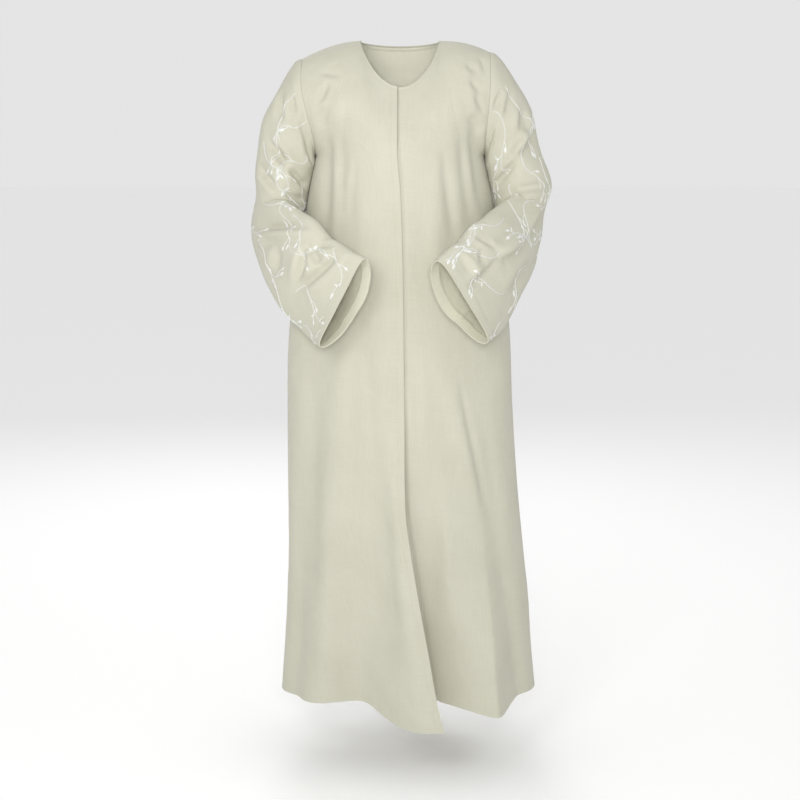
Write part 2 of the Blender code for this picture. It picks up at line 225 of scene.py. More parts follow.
def skirtPoint(which, down, angle, lift):
    sizes = bodySizes
    height = sizes["underarmHeight"] + (sizes["hemHeight"] - sizes["underarmHeight"]) * down
    point, out = ringPoint(height, angle)
    rise = np.zeros(angle.shape) + lift
    for starts, topAngle, hemAngle, halfWidth, tall, crispness in longFolds[which]:
        grown = np.clip((down - starts) / (1 - starts), 0.0, 1.0)
        off = np.abs(np.degrees(angle) - topAngle - (hemAngle - topAngle) * grown) / halfWidth
        rise = rise + tall * grown ** sizes["foldGrowth"] * np.exp(-(off**crispness))
    point = point + out * rise[..., None]
    point[..., 2] -= hemLower[which](np.degrees(angle)) * down ** sizes["hemGrowth"]
    return point


def armholePoint(side, up, atBack):
    sizes, end = bodySizes, shoulderEnds[side]
    rise = (1 - np.cos(np.pi * up)) / 2
    low = sizes["underarmHalfWidth"]
    out = low + (end["tipOut"] - low) * smooth(sizes["armholeEase"] * rise)
    reach = sizes["armholeBackReach"] if atBack else -sizes["armholeFrontReach"]
    gap = clothSizes["seamGap"] * (1 if atBack else -1)
    height = sizes["underarmHeight"] * (1 - rise) - end["tipDrop"] * rise
    return np.stack([end["side"] * out, reach * np.sin(np.pi * up) + gap, height], -1)


def topEdgePoint(side, reach, atBack):
    sizes, end = bodySizes, shoulderEnds[side]
    gap = clothSizes["seamGap"] * (1 if atBack else -1)
    rest = 1 - np.clip(reach, 0.0, sizes["shoulderShare"]) / sizes["shoulderShare"]
    out = sizes["neckHalfWidth"] + (end["tipOut"] - sizes["neckHalfWidth"]) * rest
    shoulder = np.stack([end["side"] * out, 0 * out, -end["tipDrop"] * rest ** end["bend"]], -1)
    past = np.maximum(reach - sizes["shoulderShare"], 0.0)
    turn = np.pi / 2 * past / (1 - sizes["shoulderShare"])
    depth = sizes["neckBackReach"] if atBack else -sizes["neckFrontReach"]
    drop = sizes["neckBackDrop"] if atBack else sizes["neckFrontDrop"]
    neck = np.stack([
        end["side"] * sizes["neckHalfWidth"] * np.cos(turn),
        depth * np.sin(turn),
        -drop * np.abs(np.sin(turn)) ** sizes["neckRound"],
    ], -1)
    edge = np.where((reach <= sizes["shoulderShare"])[..., None], shoulder, neck)
    return edge + np.array([0, gap, 0])


def softenedEdge(side, reach, up, atBack):
    spread = bodySizes["softening"] * (1 - up)
    beside = [topEdgePoint(side, reach + off * spread, atBack) for off in (-1, 0, 1)]
    return beside[0] * 0.25 + beside[1] * 0.5 + beside[2] * 0.25


def leaningColumn(foot, leave, head, up, atBack, overShoulder):
    span = np.linalg.norm(head - foot, axis=-1, keepdims=True)
    inwards = np.array([1, -1 if atBack else 1, 1])
    square = np.array(bodySizes["squareArrival"]) * inwards
    steep = np.array(bodySizes["steepArrival"]) * inwards
    share = np.asarray(overShoulder)[..., None]
    arrive = (steep * (1 - share) + square * share) * span
    up = up[..., None]
    rest = 1 - up
    return (
        foot * (1 + 2 * up) * rest**2
        + leave * span * up * rest**2
        + head * up**2 * (3 - 2 * up)
        + arrive * up**2 * (up - 1)
    )


def chestPoint(side, up, reach, foot, leave, atBack, lift):
    sizes = bodySizes
    head = softenedEdge(side, reach, up, atBack)
    head = head + np.array(sizes["liftWay"]) * np.asarray(lift)[..., None]
    overShoulder = 1 - ramp(1 - np.abs(1 - reach), *sizes["overShoulder"])
    point = leaningColumn(foot, leave, head, up, atBack, overShoulder)
    seam = np.zeros(1) if side == "right" else np.full(1, np.pi)
    low, _ = ringPoint(np.full(1, sizes["underarmHeight"]), seam)
    lower, _ = ringPoint(np.full(1, sizes["underarmHeight"] - sizes["slopeStep"]), seam)
    tip = softenedEdge(side, 0 * reach, up, atBack)
    straight = np.ones(reach.shape)
    plain = leaningColumn(low, (low - lower) / sizes["slopeStep"], tip, up, atBack, straight)
    pull = armholePoint(side, up, atBack) - plain
    easing = 1 + (smooth(up / 0.5) - 1) * ramp(reach, *sizes["easedBeside"])
    return point + pull * (easing * np.maximum(0.0, 1 - reach) ** sizes["armholePull"])[..., None]


def bodyGrid(which, shares, rows):
    # Grid points of one body panel on the inner side of the solid's wall.
    sizes = bodySizes
    atBack = which == "back"
    share, row = np.meshgrid(shares, rows)
    down = np.clip(1 - row / sizes["skirtRows"], 0.0, 1.0)
    height = sizes["underarmHeight"] + (sizes["hemHeight"] - sizes["underarmHeight"]) * down
    if atBack:
        angle = -np.pi * share
        reach = 1 - np.abs(1 - 2 * share)
        lift = 0 * share
    else:
        across = (lapEdge if which == "right" else coveredEdge)(height)
        wide = np.where(across < 0, reachOf["right"](height), reachOf["left"](height))
        edge = np.arccos(np.clip(-across / wide, -1, 1))
        seam = 0.0 if which == "right" else np.pi
        angle = seam + (edge - seam) * share
        reach = np.abs(angle - seam) / (np.pi / 2)
        lift = sizes["lapLift"] * smooth((share - 0.5) / 0.25) * (which == "right")
    foot = skirtPoint(which, down, angle, lift)
    up = np.clip((row - sizes["skirtRows"]) / sizes["chestRows"], 0.0, 1.0)
    lower = skirtPoint(which, np.maximum(down, sizes["slopeStep"]), angle, lift)
    climb = foot[..., 2] - lower[..., 2]
    leave = (foot - lower) / np.where(climb > 1e-6, climb, 1.0)[..., None]
    sides = {}
    for side in ("right", "left"):
        if atBack or which == side:
            sides[side] = chestPoint(side, up, reach, foot, leave, atBack, lift)
    chest = sides[which] if not atBack else np.where(
        (share < 0.5)[..., None], sides["right"], sides["left"]
    )
    return np.where((row <= sizes["skirtRows"])[..., None], foot, chest), share


# the sleeves, as in the solids
sleeveSections = {  # along, outer line, inner line, reach to the front and rear, bow
    "right": [
        (0.035, (0.199, 0.000, -0.045), (0.1655, 0.000, -0.2170), 0.069, 0.072, 0.000),
        (0.085, (0.229, 0.000, -0.087), (0.1665, 0.000, -0.2230), 0.067, 0.071, 0.000),
        (0.160, (0.261, 0.000, -0.145), (0.1692, 0.000, -0.2380), 0.065, 0.070, 0.000),
        (0.240, (0.273, 0.002, -0.212), (0.1743, 0.000, -0.2620), 0.064, 0.071, 0.000),
        (0.325, (0.283, 0.002, -0.275), (0.1807, 0.000, -0.2950), 0.066, 0.076, 0.000),
        (0.415, (0.284, -0.013, -0.330), (0.1890, -0.003, -0.3350), 0.074, 0.082, 0.000),
        (0.525, (0.264, -0.066, -0.374), (0.1940, -0.036, -0.3760), 0.084, 0.084, 0.002),
        (0.700, (0.214, -0.149, -0.415), (0.1570, -0.109, -0.4200), 0.093, 0.097, 0.005),
        (0.845, (0.164, -0.194, -0.449), (0.1100, -0.160, -0.4560), 0.092, 0.099, 0.010),
        (1.000, (0.108, -0.256, -0.475), (0.0720, -0.225, -0.4910), 0.090, 0.090, 0.017),
    ],
    "left": [
        (0.035, (0.184, 0.000, -0.034), (0.1655, 0.000, -0.2170), 0.069, 0.072, 0.000),
        (0.085, (0.212, 0.000, -0.064), (0.1665, 0.000, -0.2230), 0.067, 0.071, 0.000),
        (0.160, (0.248, 0.000, -0.122), (0.1692, 0.000, -0.2380), 0.065, 0.070, 0.000),
        (0.240, (0.265, 0.002, -0.190), (0.1743, 0.000, -0.2620), 0.064, 0.071, 0.000),
        (0.325, (0.285, 0.002, -0.262), (0.1804, 0.000, -0.2940), 0.066, 0.074, 0.000),
        (0.415, (0.280, -0.013, -0.322), (0.1890, -0.003, -0.3330), 0.074, 0.076, 0.000),
        (0.525, (0.256, -0.066, -0.366), (0.1940, -0.036, -0.3740), 0.084, 0.070, 0.002),
        (0.700, (0.212, -0.149, -0.406), (0.1570, -0.109, -0.4160), 0.092, 0.083, 0.005),
        (0.845, (0.170, -0.200, -0.436), (0.1180, -0.160, -0.4480), 0.092, 0.099, 0.010),
        (1.000, (0.120, -0.263, -0.472), (0.0770, -0.217, -0.4900), 0.089, 0.089, 0.018),
    ],
}
sleeveFolds = {  # along, angle, length, half width, lean, rise
    "right": [
        (0.20, 50, 0.10, 20, 30, -0.007), (0.36, 20, 0.07, 60, 260, -0.008),
        (0.44, 320, 0.06, 40, 0, 0.008), (0.62, 40, 0.16, 16, 60, -0.006),
        (0.80, 10, 0.12, 20, -60, 0.006), (0.20, 250, 0.10, 22, -30, -0.007),
        (0.55, 215, 0.12, 18, 40, 0.006), (0.10, 155, 0.07, 28, 0, 0.0105),
        (0.23, 150, 0.08, 26, 0, 0.007), (1.00, 196, 0.10, 24, 0, -0.006),
        (0.79, 80, 0.035, 30, 0, -0.006), (0.70, 85, 0.040, 30, 0, 0.004),
        (0.37, 180, 0.060, 40, 0, 0.0026),
    ],
    "left": [
        (0.20, 40, 0.10, 22, -20, -0.006), (0.34, 0, 0.05, 50, 200, 0.006),
        (0.41, 350, 0.05, 45, 100, -0.005), (0.60, 320, 0.16, 16, 60, -0.006),
        (0.78, 30, 0.12, 20, 40, 0.006), (0.20, 240, 0.10, 22, 30, -0.007),
        (0.55, 205, 0.12, 18, -40, 0.006), (0.10, 155, 0.07, 28, 0, 0.0105),
        (0.23, 150, 0.08, 26, 0, 0.007), (1.00, 218, 0.11, 20, 0, -0.010),
        (0.86, 85, 0.035, 30, 0, -0.005), (0.78, 85, 0.040, 30, 0, 0.004),
        (0.37, 180, 0.060, 40, 0, 0.0026),
    ],
}
sleeveTop = {
    "held": 0.035,            # the first section serves down to here
    "look": 0.02,             # how far ahead and behind the tube's heading is measured
    "blend": 0.12,            # over this share the armhole's loop passes into the tube
    "stepOut": 0.0025,
    "leadOut": 0.22,          # how fast the loop leaves the body, and its shares all round
    "leadShares": (0.6, 0.4),
}


def sleeveGrid(which, alongs, turns):
    # Grid points of a sleeve on the inner side of the solid's wall.
    at = {
        name: curveThrough([(row[0], row[place]) for row in sleeveSections[which]])
        for place, name in enumerate(("outer", "inner", "front", "rear", "bow"), 1)
    }
    turn, along = np.meshgrid(turns, alongs)
    held, look = np.maximum(along, sleeveTop["held"]), sleeveTop["look"]
    outer, inner = at["outer"](held), at["inner"](held)
    ahead = (at["outer"](held + look) + at["inner"](held + look)) / 2
    behind = (at["outer"](held - look) + at["inner"](held - look)) / 2
    half = (outer - inner) / 2
    across = unit(np.cross(ahead - behind, half))
    reach = np.where(np.sin(turn) > 0, at["front"](held), at["rear"](held))[..., None]
    cosTurn, sinTurn = np.cos(turn)[..., None], np.sin(turn)[..., None]
    bowed = unit(half) * at["bow"](held)[..., None] * sinTurn**2
    point = (outer + inner) / 2 + half * cosTurn + across * reach * sinTurn + bowed
    wrapped = np.mod(turn, 2 * np.pi)
    loopFront = armholePoint(which, 1 - wrapped / np.pi, False)
    loopBack = armholePoint(which, wrapped / np.pi - 1, True)
    loop = np.where((wrapped > np.pi)[..., None], loopBack, loopFront)
    # square out of the armhole at the shoulder, close along the body under the arm
    evenly, more = sleeveTop["leadShares"]
    leadOut = sleeveTop["leadOut"] * along * (evenly + more * np.cos(turn))
    loop[..., 0] = np.abs(loop[..., 0]) + sleeveTop["stepOut"] + leadOut
    near = smooth(along / sleeveTop["blend"])[..., None]
    blended = loop * (1 - near) + point * near
    point = np.where((along < sleeveTop["blend"])[..., None], blended, point)
    out = unit(point - (at["outer"](along) + at["inner"](along)) / 2)
    rise = 0 * turn
    for place, angle, length, halfWidth, lean, tall in sleeveFolds[which]:
        offTurn = np.degrees(turn) - angle - lean * (along - place)
        offTurn = np.mod(offTurn + 180, 360) - 180
        off = ((along - place) / length) ** 2 + (offTurn / halfWidth) ** 2
        rise = rise + tall * np.exp(-off)
    point = point + out * rise[..., None] * near
    point[..., 0] *= shoulderEnds[which]["side"]
    return point, turn, along


# creases, listed one by one
# Each runs from a point over a second to a third: across and height of each, in millimetres, seen
# square from the front or, in the hidden tables, from the back. The last two numbers are its half
# width and its rise (a trough is negative), in tenths of a millimetre.
bodyCreases = [
    (-136, -150, -130, -262, -144, -400, 110, -34), (-112, -164, -105, -268, -114, -392, 100, -28),
    (-82, -210, -90, -276, -96, -352, 70, -18), (-124, -160, -118, -270, -130, -410, 90, 22),
    (-66, -236, -70, -330, -74, -440, 130, 18), (76, -186, 89, -284, 104, -402, 90, -34),
    (110, -140, 120, -262, 148, -372, 105, -36), (130, -150, 141, -246, 158, -336, 90, -30),
    (118, -150, 131, -270, 156, -390, 85, 24), (56, -226, 62, -330, 70, -452, 130, 20),
    (120, -40, 132, -51, 149, -63, 60, -25), (128, -68, 141, -85, 156, -105, 60, -30),
    (139, -96, 149, -117, 160, -141, 60, -30), (148, -26, 157, -43, 163, -65, 50, -20),
    (-155, -62, -132, -60, -106, -68, 50, -25), (-136, -72, -139, -96, -153, -118, 60, -30),
    (-130, -81, -139, -111, -154, -137, 60, 20), (-102, -75, -119, -130, -149, -167, 140, 25),
    (-133, -111, -146, -144, -154, -167, 120, -30), (127, -134, 142, -156, 151, -178, 100, -30),
    (-80, -480, -62, -660, -44, -960, 180, -50), (-58, -780, -36, -1020, -14, -1290, 220, -50),
    (-104, -460, -112, -728, -136, -1060, 240, 60), (-20, -740, -2, -960, 34, -1260, 140, 40),
    (-166, -560, -176, -860, -190, -1240, 180, -50), (-136, -900, -140, -1060, -150, -1290, 220, 40),
    (104, -590, 139, -774, 176, -940, 70, -30), (80, -600, 120, -777, 160, -950, 130, 28),
    (149, -640, 177, -815, 200, -993, 130, -16), (39, -565, 45, -669, 42, -803, 120, 20),
    (21, -556, 24, -669, 23, -823, 50, -12), (76, -801, 89, -976, 100, -1133, 140, 30),
]
hiddenBodyCreases = [
    (-152, -150, -122, -220, -106, -330, 80, -30), (148, -142, 117, -230, 98, -352, 80, -32),
    (-132, -100, -104, -160, -92, -252, 70, 22), (130, -92, 108, -150, 88, -236, 70, 18),
    (-62, -72, -16, -92, 48, -78, 130, -18), (-110, -52, -125, -82, -148, -108, 60, -26),
    (104, -46, 126, -78, 146, -114, 60, -24), (-136, -260, -142, -330, -158, -420, 70, -30),
    (138, -262, 150, -322, 156, -402, 70, -30), (-60, -392, -70, -600, -102, -850, 140, -34),
    (50, -372, 56, -622, 92, -902, 160, 32), (4, -450, -12, -700, 10, -950, 120, -26),
    (122, -500, 142, -700, 156, -954, 110, -34), (-140, -452, -162, -650, -174, -902, 110, 32),
    (200, -620, 214, -850, 232, -1120, 100, -30), (-198, -700, -206, -900, -214, -1160, 100, -30),
]
sleeveCreases = {
    "right": [
        (-191, -60, -180, -120, -161, -195, 60, -40), (-177, -62, -174, -111, -163, -144, 60, 30),
        (-205, -96, -204, -120, -196, -144, 50, -30), (-228, -88, -228, -118, -227, -152, 50, -30),
        (-217, -92, -217, -122, -213, -157, 50, 25), (-250, -187, -235, -213, -209, -240, 60, -60),
        (-215, -234, -190, -262, -169, -287, 60, -60), (-242, -176, -225, -200, -197, -230, 70, 35),
        (-197, -133, -182, -170, -165, -223, 40, -30), (-183, -185, -170, -214, -160, -242, 40, -30),
        (-272, -223, -260, -261, -222, -284, 60, -40), (-226, -280, -199, -297, -180, -305, 60, -40),
        (-281, -358, -247, -347, -152, -341, 50, -45), (-273, -373, -227, -358, -155, -354, 60, 30),
        (-175, -373, -185, -410, -193, -463, 60, -40), (-175, -372, -158, -391, -138, -421, 50, -35),
        (-228, -377, -234, -406, -240, -443, 70, -35), (-111, -386, -144, -423, -200, -467, 50, -35),
        (-101, -391, -133, -430, -189, -474, 60, 25), (-162, -369, -164, -410, -175, -443, 70, 30),
        (-167, -387, -137, -368, -119, -379, 50, -25), (-266, -395, -273, -376, -281, -347, 50, -30),
    ],
    "left": [
        (155, -47, 159, -92, 165, -133, 50, -35), (192, -92, 183, -111, 172, -133, 40, -35),
        (209, -87, 204, -114, 196, -148, 40, -35), (202, -92, 192, -118, 185, -144, 50, 25),
        (230, -120, 232, -148, 228, -174, 60, -30), (242, -125, 248, -151, 248, -182, 40, 20),
        (256, -165, 249, -191, 220, -223, 60, -50), (226, -218, 194, -249, 173, -279, 60, -50),
        (243, -159, 232, -195, 201, -223, 60, 30), (160, -223, 171, -185, 178, -148, 40, -30),
        (293, -280, 248, -285, 198, -297, 60, -30), (293, -266, 248, -272, 202, -283, 70, 20),
        (287, -299, 270, -345, 240, -380, 60, -40), (249, -368, 215, -402, 180, -408, 60, -45),
        (187, -398, 152, -427, 119, -456, 60, -40), (232, -352, 206, -382, 176, -389, 80, 40),
        (134, -359, 156, -365, 182, -384, 50, -30), (143, -379, 150, -394, 148, -413, 50, -25),
        (106, -380, 136, -406, 147, -439, 60, 25), (257, -394, 234, -432, 189, -485, 80, -25),
    ],
}
hiddenSleeveCreases = {
    "right": [
        (-204, -70, -190, -130, -182, -196, 60, -34), (-226, -96, -220, -130, -222, -176, 60, 26),
        (-246, -170, -228, -206, -196, -240, 60, -40), (-262, -236, -236, -262, -196, -272, 60, -40),
        (-270, -296, -240, -302, -206, -322, 50, -34), (-258, -352, -228, -372, -176, -384, 60, -34),
        (-226, -382, -194, -424, -150, -452, 60, -30),
    ],
    "left": [
        (192, -62, 186, -126, 180, -190, 60, -34), (222, -86, 216, -132, 222, -182, 60, 26),
        (244, -152, 224, -196, 194, -230, 60, -40), (262, -226, 236, -246, 198, -262, 60, -40),
        (276, -290, 246, -306, 208, -312, 50, -34), (252, -346, 222, -366, 178, -380, 60, -34),
        (222, -380, 190, -414, 154, -446, 60, -30),
    ],
}


creaseShape = {
    "steps": 24,              # short straight runs of each crease
    "widening": (0.8, 0.5),   # share of the half width at its start, and what it gains to its end
    "fading": 0.4,            # share of its length over which each end fades
    "trough": (0.8, 0.9),
    "shoulder": 0.35,
}


def creaseRise(grid, creases, gain, sizes):
    look = creaseShape
    steps = look["steps"]
    dip, narrow = look["trough"]
    total = np.zeros(grid.shape[:2])
    spots = np.stack([grid[..., 0], grid[..., 2]], -1)
    t = np.linspace(0, 1, steps + 1)[:, None]
    for row in creases:
        start, via, end = np.array(row[:6]).reshape(3, 2) / 1000
        halfWidth, tall = row[6] / 10000 * sizes["creaseSpread"], row[7] / 10000
        line = (1 - t) ** 2 * start + 2 * t * (1 - t) * via + t**2 * end
        low, high = line.min(0) - 4 * halfWidth, line.max(0) + 4 * halfWidth
        near = np.all((spots > low) & (spots < high), -1)
        if not near.any():
            continue
        begin, run = line[:-1], np.diff(line, axis=0)
        gap = spots[near][:, None] - begin
        share = np.clip((gap * run).sum(-1) / (run * run).sum(-1), 0, 1)
        off = np.linalg.norm(gap - share[..., None] * run, axis=-1)
        best = off.argmin(1)
        pick = np.arange(len(best))
        along = (best + share[pick, best]) / steps
        off = off[pick, best] / (halfWidth * (look["widening"][0] + look["widening"][1] * along))
        turned = run[best, 0] * gap[pick, best, 1] - run[best, 1] * gap[pick, best, 0]
        side = np.where(turned > 0, 1.0, -1.0) * off
        ends = smooth(along / look["fading"]) * smooth((1 - along) / look["fading"])
        # a trough or ridge with a soft shoulder on either side, one side standing higher
        trough = (1 - dip * off**2) * np.exp(-narrow * off**2)
        shoulder = sizes["creaseLean"] * side * np.exp(-look["shoulder"] * off**2)
        total[near] += gain * tall * ends * (trough + shoulder)
    return total


# from a grid of points to a thin cloth panel
def gridNormals(points, closed, flip):
    if closed:
        padded = np.concatenate([points[:, -1:], points, points[:, :1]], 1)
        sideways = np.gradient(padded, axis=1)[:, 1:-1]
    else:
        sideways = np.gradient(points, axis=1)
    normals = unit(np.cross(sideways, np.gradient(points, axis=0)))
    return -normals if flip else normals


def runOf(points, axis):
    # Length run along one direction of the grid, from its first line.
    steps = np.linalg.norm(np.diff(points, axis=axis), axis=-1)
    return np.concatenate([np.zeros_like(steps.take([0], axis)), np.cumsum(steps, axis)], axis)


def uneven(across, along, shift, which, sizes):
    # The soft hills of worn cloth, and the small crumples over them.
    seed, cloth = sizes["seeds"][which], clothSizes
    hills = softField(across, along * sizes["hillsAlong"] + shift, cloth["grainCell"], seed)
    crumpled = along * sizes["crumplesAlong"] + shift
    crumples = softField(across, crumpled, cloth["crumpleCell"], seed + 1)
    return cloth["grainRise"] * hills, cloth["crumpleRise"] * crumples


def widened(values, wide):
    return np.pad(values, [*wide, (0, 0)][: values.ndim], mode="edge")


def pinchOf(normals, mild, sharp):
    # From 0 where a closed grid turns mildly between neighbours to 1 where it turns sharply.
    beside = [np.roll(normals, step, axis) for step, axis in ((1, 1), (-1, 1), (1, 0), (-1, 0))]
    bend = 1 - np.min([(normals * other).sum(-1) for other in beside], axis=0)
    bend[[0, -1]] = 0
    return ramp(bend, mild, sharp - mild)


def relaxed(grid, flip, sizes):
    # Rounds only the sharp pinches of a closed grid, so that the thin wall never folds on itself.
    for _ in range(sizes["roundingPasses"]):
        share = pinchOf(gridNormals(grid, True, flip), *sizes["roundedFrom"])[1:-1, :, None]
        middle = (np.roll(grid, 1, 1) + np.roll(grid, -1, 1))[1:-1] + grid[2:] + grid[:-2]
        grid = grid.copy()
        grid[1:-1] += sizes["roundingShare"] * share * (middle / 4 - grid[1:-1])
    return grid


def turnedIn(grid, normals, end, sideways):
    # Two more lines at one end of the grid, where a seam's edge turns inwards.
    edge, beside = (0, 1) if end == "first" else (-1, -2)
    point, normal = grid.take([edge], sideways), normals.take([edge], sideways)
    away = unit(point - grid.take([beside], sideways))
    out, further = clothSizes["seamOut"]
    first = point + away * out - normal * clothSizes["seamRound"]
    second = point + away * further - normal * clothSizes["seamDepth"]
    lines, faces = [grid, first, second], [normals, unit(normal + away), away]
    if end == "first":
        lines, faces = lines[::-1], faces[::-1]
    return np.concatenate(lines, sideways), np.concatenate(faces, sideways)


def clothPanel(name, panel, material, closed=False, flip=False):
    # A closed thin shell: the outer grid, an inner one under it and a rim round its borders.
    outer, normals, thick, uv = panel["outer"], panel["normals"], panel["thick"], panel["uv"]
    rows, columns = outer.shape[:2]
    inner = outer - normals * thick[..., None]
    vertices = np.concatenate([outer.reshape(-1, 3), inner.reshape(-1, 3)])
    spans = columns if closed else columns - 1
    row, column = np.meshgrid(np.arange(rows - 1), np.arange(spans), indexing="ij")
    row, column = row.ravel(), column.ravel()
    corners = [(row, column), (row, column + 1), (row + 1, column + 1), (row + 1, column)]
    index = np.stack([r * columns + c % columns for r, c in corners], 1)
    place = np.stack([uv[r, c] for r, c in corners], 1)
    under = len(outer.reshape(-1, 3))
    if flip:
        index, place = index[:, ::-1], place[:, ::-1]
    faces, places = [index, index[:, ::-1] + under], [place, place[:, ::-1]]

    def rim(r, c, nextR, nextC, turned):
        near, far = r * columns + c % columns, nextR * columns + nextC % columns
        quad = np.stack([far, near, near + under, far + under], 1)
        spot = np.stack([uv[nextR, nextC], uv[r, c], uv[r, c], uv[nextR, nextC]], 1)
        faces.append(quad[:, ::-1] if turned != flip else quad)
        places.append(spot[:, ::-1] if turned != flip else spot)

    c, zero = np.arange(spans), np.zeros(spans, int)
    rim(zero, c, zero, c + 1, False)
    rim(zero + rows - 1, c, zero + rows - 1, c + 1, True)
    if not closed:
        r, zero = np.arange(rows - 1), np.zeros(rows - 1, int)
        rim(r, zero, r + 1, zero, True)
        rim(r, zero + columns - 1, r + 1, zero + columns - 1, False)
    faces, places = np.concatenate(faces), np.concatenate(places)
    mesh = bpy.data.meshes.new(name)
    mesh.from_pydata(vertices.tolist(), [], faces.tolist())
    layer = mesh.uv_layers.new(name="UVMap")
    layer.data.foreach_set("uv", places.astype(np.float32).ravel())
    mesh.shade_smooth()
    mesh.set_sharp_from_angle(angle=math.radians(clothSizes["sharpAngle"]))
    mesh.materials.append(material)
    # the inner faces take the paler inside linen, which paints light onto them
    mesh.materials.append(linenInsidePaintedLight)
    side = np.zeros(len(faces), np.int32)
    side[len(index) : 2 * len(index)] = 1
    mesh.polygons.foreach_set("material_index", side)
    return newObject(name, mesh)


def spotsOn(panel, column, row):
    # Points and normals of a panel's outer side, at any fractional place of its grid.
    grid, normals = panel["bare"], panel["bareNormals"]
    columns = grid.shape[1]
    row = np.clip(row, 0, grid.shape[0] - 1.001)
    column = np.asarray(column, float)
    if not panel["closed"]:
        column = np.clip(column, 0, columns - 1.001)
    low, left = np.floor(row).astype(int), np.floor(column).astype(int)
    tr, tc = (row - low)[..., None], (column - left)[..., None]
    a, b = left % columns, (left + 1) % columns

    def mixed(values):
        lower = values[low, a] * (1 - tc) + values[low, b] * tc
        upper = values[low + 1, a] * (1 - tc) + values[low + 1, b] * tc
        return lower * (1 - tr) + upper * tr

    return mixed(grid), unit(mixed(normals))


def lineBeside(panel, edge, distance, start=0.0, stop=1.0):
    # A line on the panel at one distance from an edge: low, top, first or last.
    grid = panel["bare"]
    sideways = edge in ("first", "last")
    run = runOf(grid, 1 if sideways else 0)
    if edge in ("top", "last"):
        run = (run[:, -1:] if sideways else run[-1:]) - run
    run = run if sideways else run.T
    count = len(run)
    picks = range(int(start * (count - 1)), int(stop * (count - 1)) + 1)
    places = np.arange(run.shape[1])
    if edge in ("top", "last"):
        found = [np.interp(distance, run[k][::-1], places[::-1]) for k in picks]
    else:
        found = [np.interp(distance, run[k], places) for k in picks]
    found, picks = np.array(found), np.array(list(picks), float)
    return spotsOn(panel, found, picks) if sideways else spotsOn(panel, picks, found)


# materials
class Wire:
    # One socket of a material, on which sums are written as plain expressions.
    def __init__(self, paint, socket):
        self.paint, self.socket = paint, socket

    def sum(self, operation, *others):
        return self.paint.add("ShaderNodeMath", {"operation": operation}, [self, *others])[0]

    def __add__(self, other):
        return self.sum("ADD", other)

    def __sub__(self, other):
        return self.sum("SUBTRACT", other)

    def __rsub__(self, other):
        return self.paint.add("ShaderNodeMath", {"operation": "SUBTRACT"}, [other, self])[0]

    def __mul__(self, other):
        return self.sum("MULTIPLY", other)

    def __truediv__(self, other):
        return self.sum("DIVIDE", other)

    __radd__ = __add__
    __rmul__ = __mul__


class Paint:
    def __init__(self, name, **constants):
        self.material = bpy.data.materials.new(name)
        self.material.use_nodes = True
        self.tree = self.material.node_tree
        self.shader = self.tree.nodes["Principled BSDF"]
        for socket, value in constants.items():
            self.shader.inputs[socket.replace("_", " ")].default_value = value

    def add(self, kind, settings, inputs):
        # Any node: its settings first, then the values or wires of its sockets.
        node = self.tree.nodes.new(kind)
        for key, value in settings.items():
            setattr(node, key, value)
        pairs = inputs.items() if isinstance(inputs, dict) else enumerate(inputs)
        for key, value in pairs:
            self.feed(node.inputs[key], value)
        return [Wire(self, socket) for socket in node.outputs]

    def feed(self, socket, value):
        if isinstance(value, Wire):
            self.tree.links.new(value.socket, socket)
        else:
            socket.default_value = value


linenLook = {
    "pale": (0.524, 0.515, 0.420, 1.0),
    "dark": (0.470, 0.460, 0.368, 1.0),
    # the inner colours are painted light: paler than the outer linen, to lighten the shaded inside
    # faces
    "innerPaintedLightPale": (0.760, 0.746, 0.610, 1.0),
    "innerPaintedLightDark": (0.700, 0.686, 0.556, 1.0),
    "threadPitch": 0.0011,
    "slubLength": 0.045,
    "slubWidth": 0.0016,
    "weaveDepth": 0.00016,
    "slubDepth": 0.00020,
    "cloudScale": 9.0,        # large soft patches
    "wobbleScale": 160.0,     # how finely the threads waver, and how far
    "wobble": 2.0,
    "upright": 0.55,          # shares of the slubs, clouds and weave in the colour
    "level": 0.45,
    "cloudy": 0.5,
    "woven": 0.10,
    "contrast": 1.9,
}


def makeLinen(name, pale, dark):
    look = linenLook
    paint = Paint(name, Roughness=0.88, Sheen_Weight=0.12, Sheen_Roughness=0.5)
    uv = paint.add("ShaderNodeUVMap", {"uv_map": "UVMap"}, [])[0]
    u, v, _ = paint.add("ShaderNodeSeparateXYZ", {}, [uv])

    def streaks(x, y, size, detail):
        place = paint.add("ShaderNodeCombineXYZ", {}, [x, y, 0.0])[0]
        settings = {"noise_dimensions": "2D"}
        inputs = {"Vector": place, "Scale": size, "Detail": detail, "Roughness": 0.55}
        return paint.add("ShaderNodeTexNoise", settings, inputs)[0]

    upright = streaks(u / look["slubWidth"], v / look["slubLength"], 1.0, 2.0)
    level = streaks(u / look["slubLength"], v / look["slubWidth"], 1.0, 2.0)
    clouds = streaks(u, v, look["cloudScale"], 2.0)
    wobble = streaks(u, v, look["wobbleScale"], 0.0)
    waves = 2 * math.pi / look["threadPitch"]
    warp = (u * waves + wobble * look["wobble"]).sum("SINE")
    weft = (v * waves + wobble * look["wobble"]).sum("SINE")
    weave = warp * weft * 0.5 + 0.5
    slubs = upright * look["upright"] + level * look["level"]
    shade = slubs + (clouds - 0.5) * look["cloudy"] + (weave - 0.5) * look["woven"]
    factor = ((shade - 0.5) * look["contrast"] + 0.5).sum("MAXIMUM", 0.0).sum("MINIMUM", 1.0)
    colour = paint.add("ShaderNodeMix", {"data_type": "RGBA"}, {0: factor, 6: dark, 7: pale})[2]
    paint.feed(paint.shader.inputs["Base Color"], colour)
    relief = weave * look["weaveDepth"] + (upright + level) * look["slubDepth"]
    bump = paint.add("ShaderNodeBump", {}, {"Strength": 0.7, "Distance": 1.0, "Height": relief})[0]
    paint.feed(paint.shader.inputs["Normal"], bump)
    return paint.material


linen = makeLinen("linen", linenLook["pale"], linenLook["dark"])
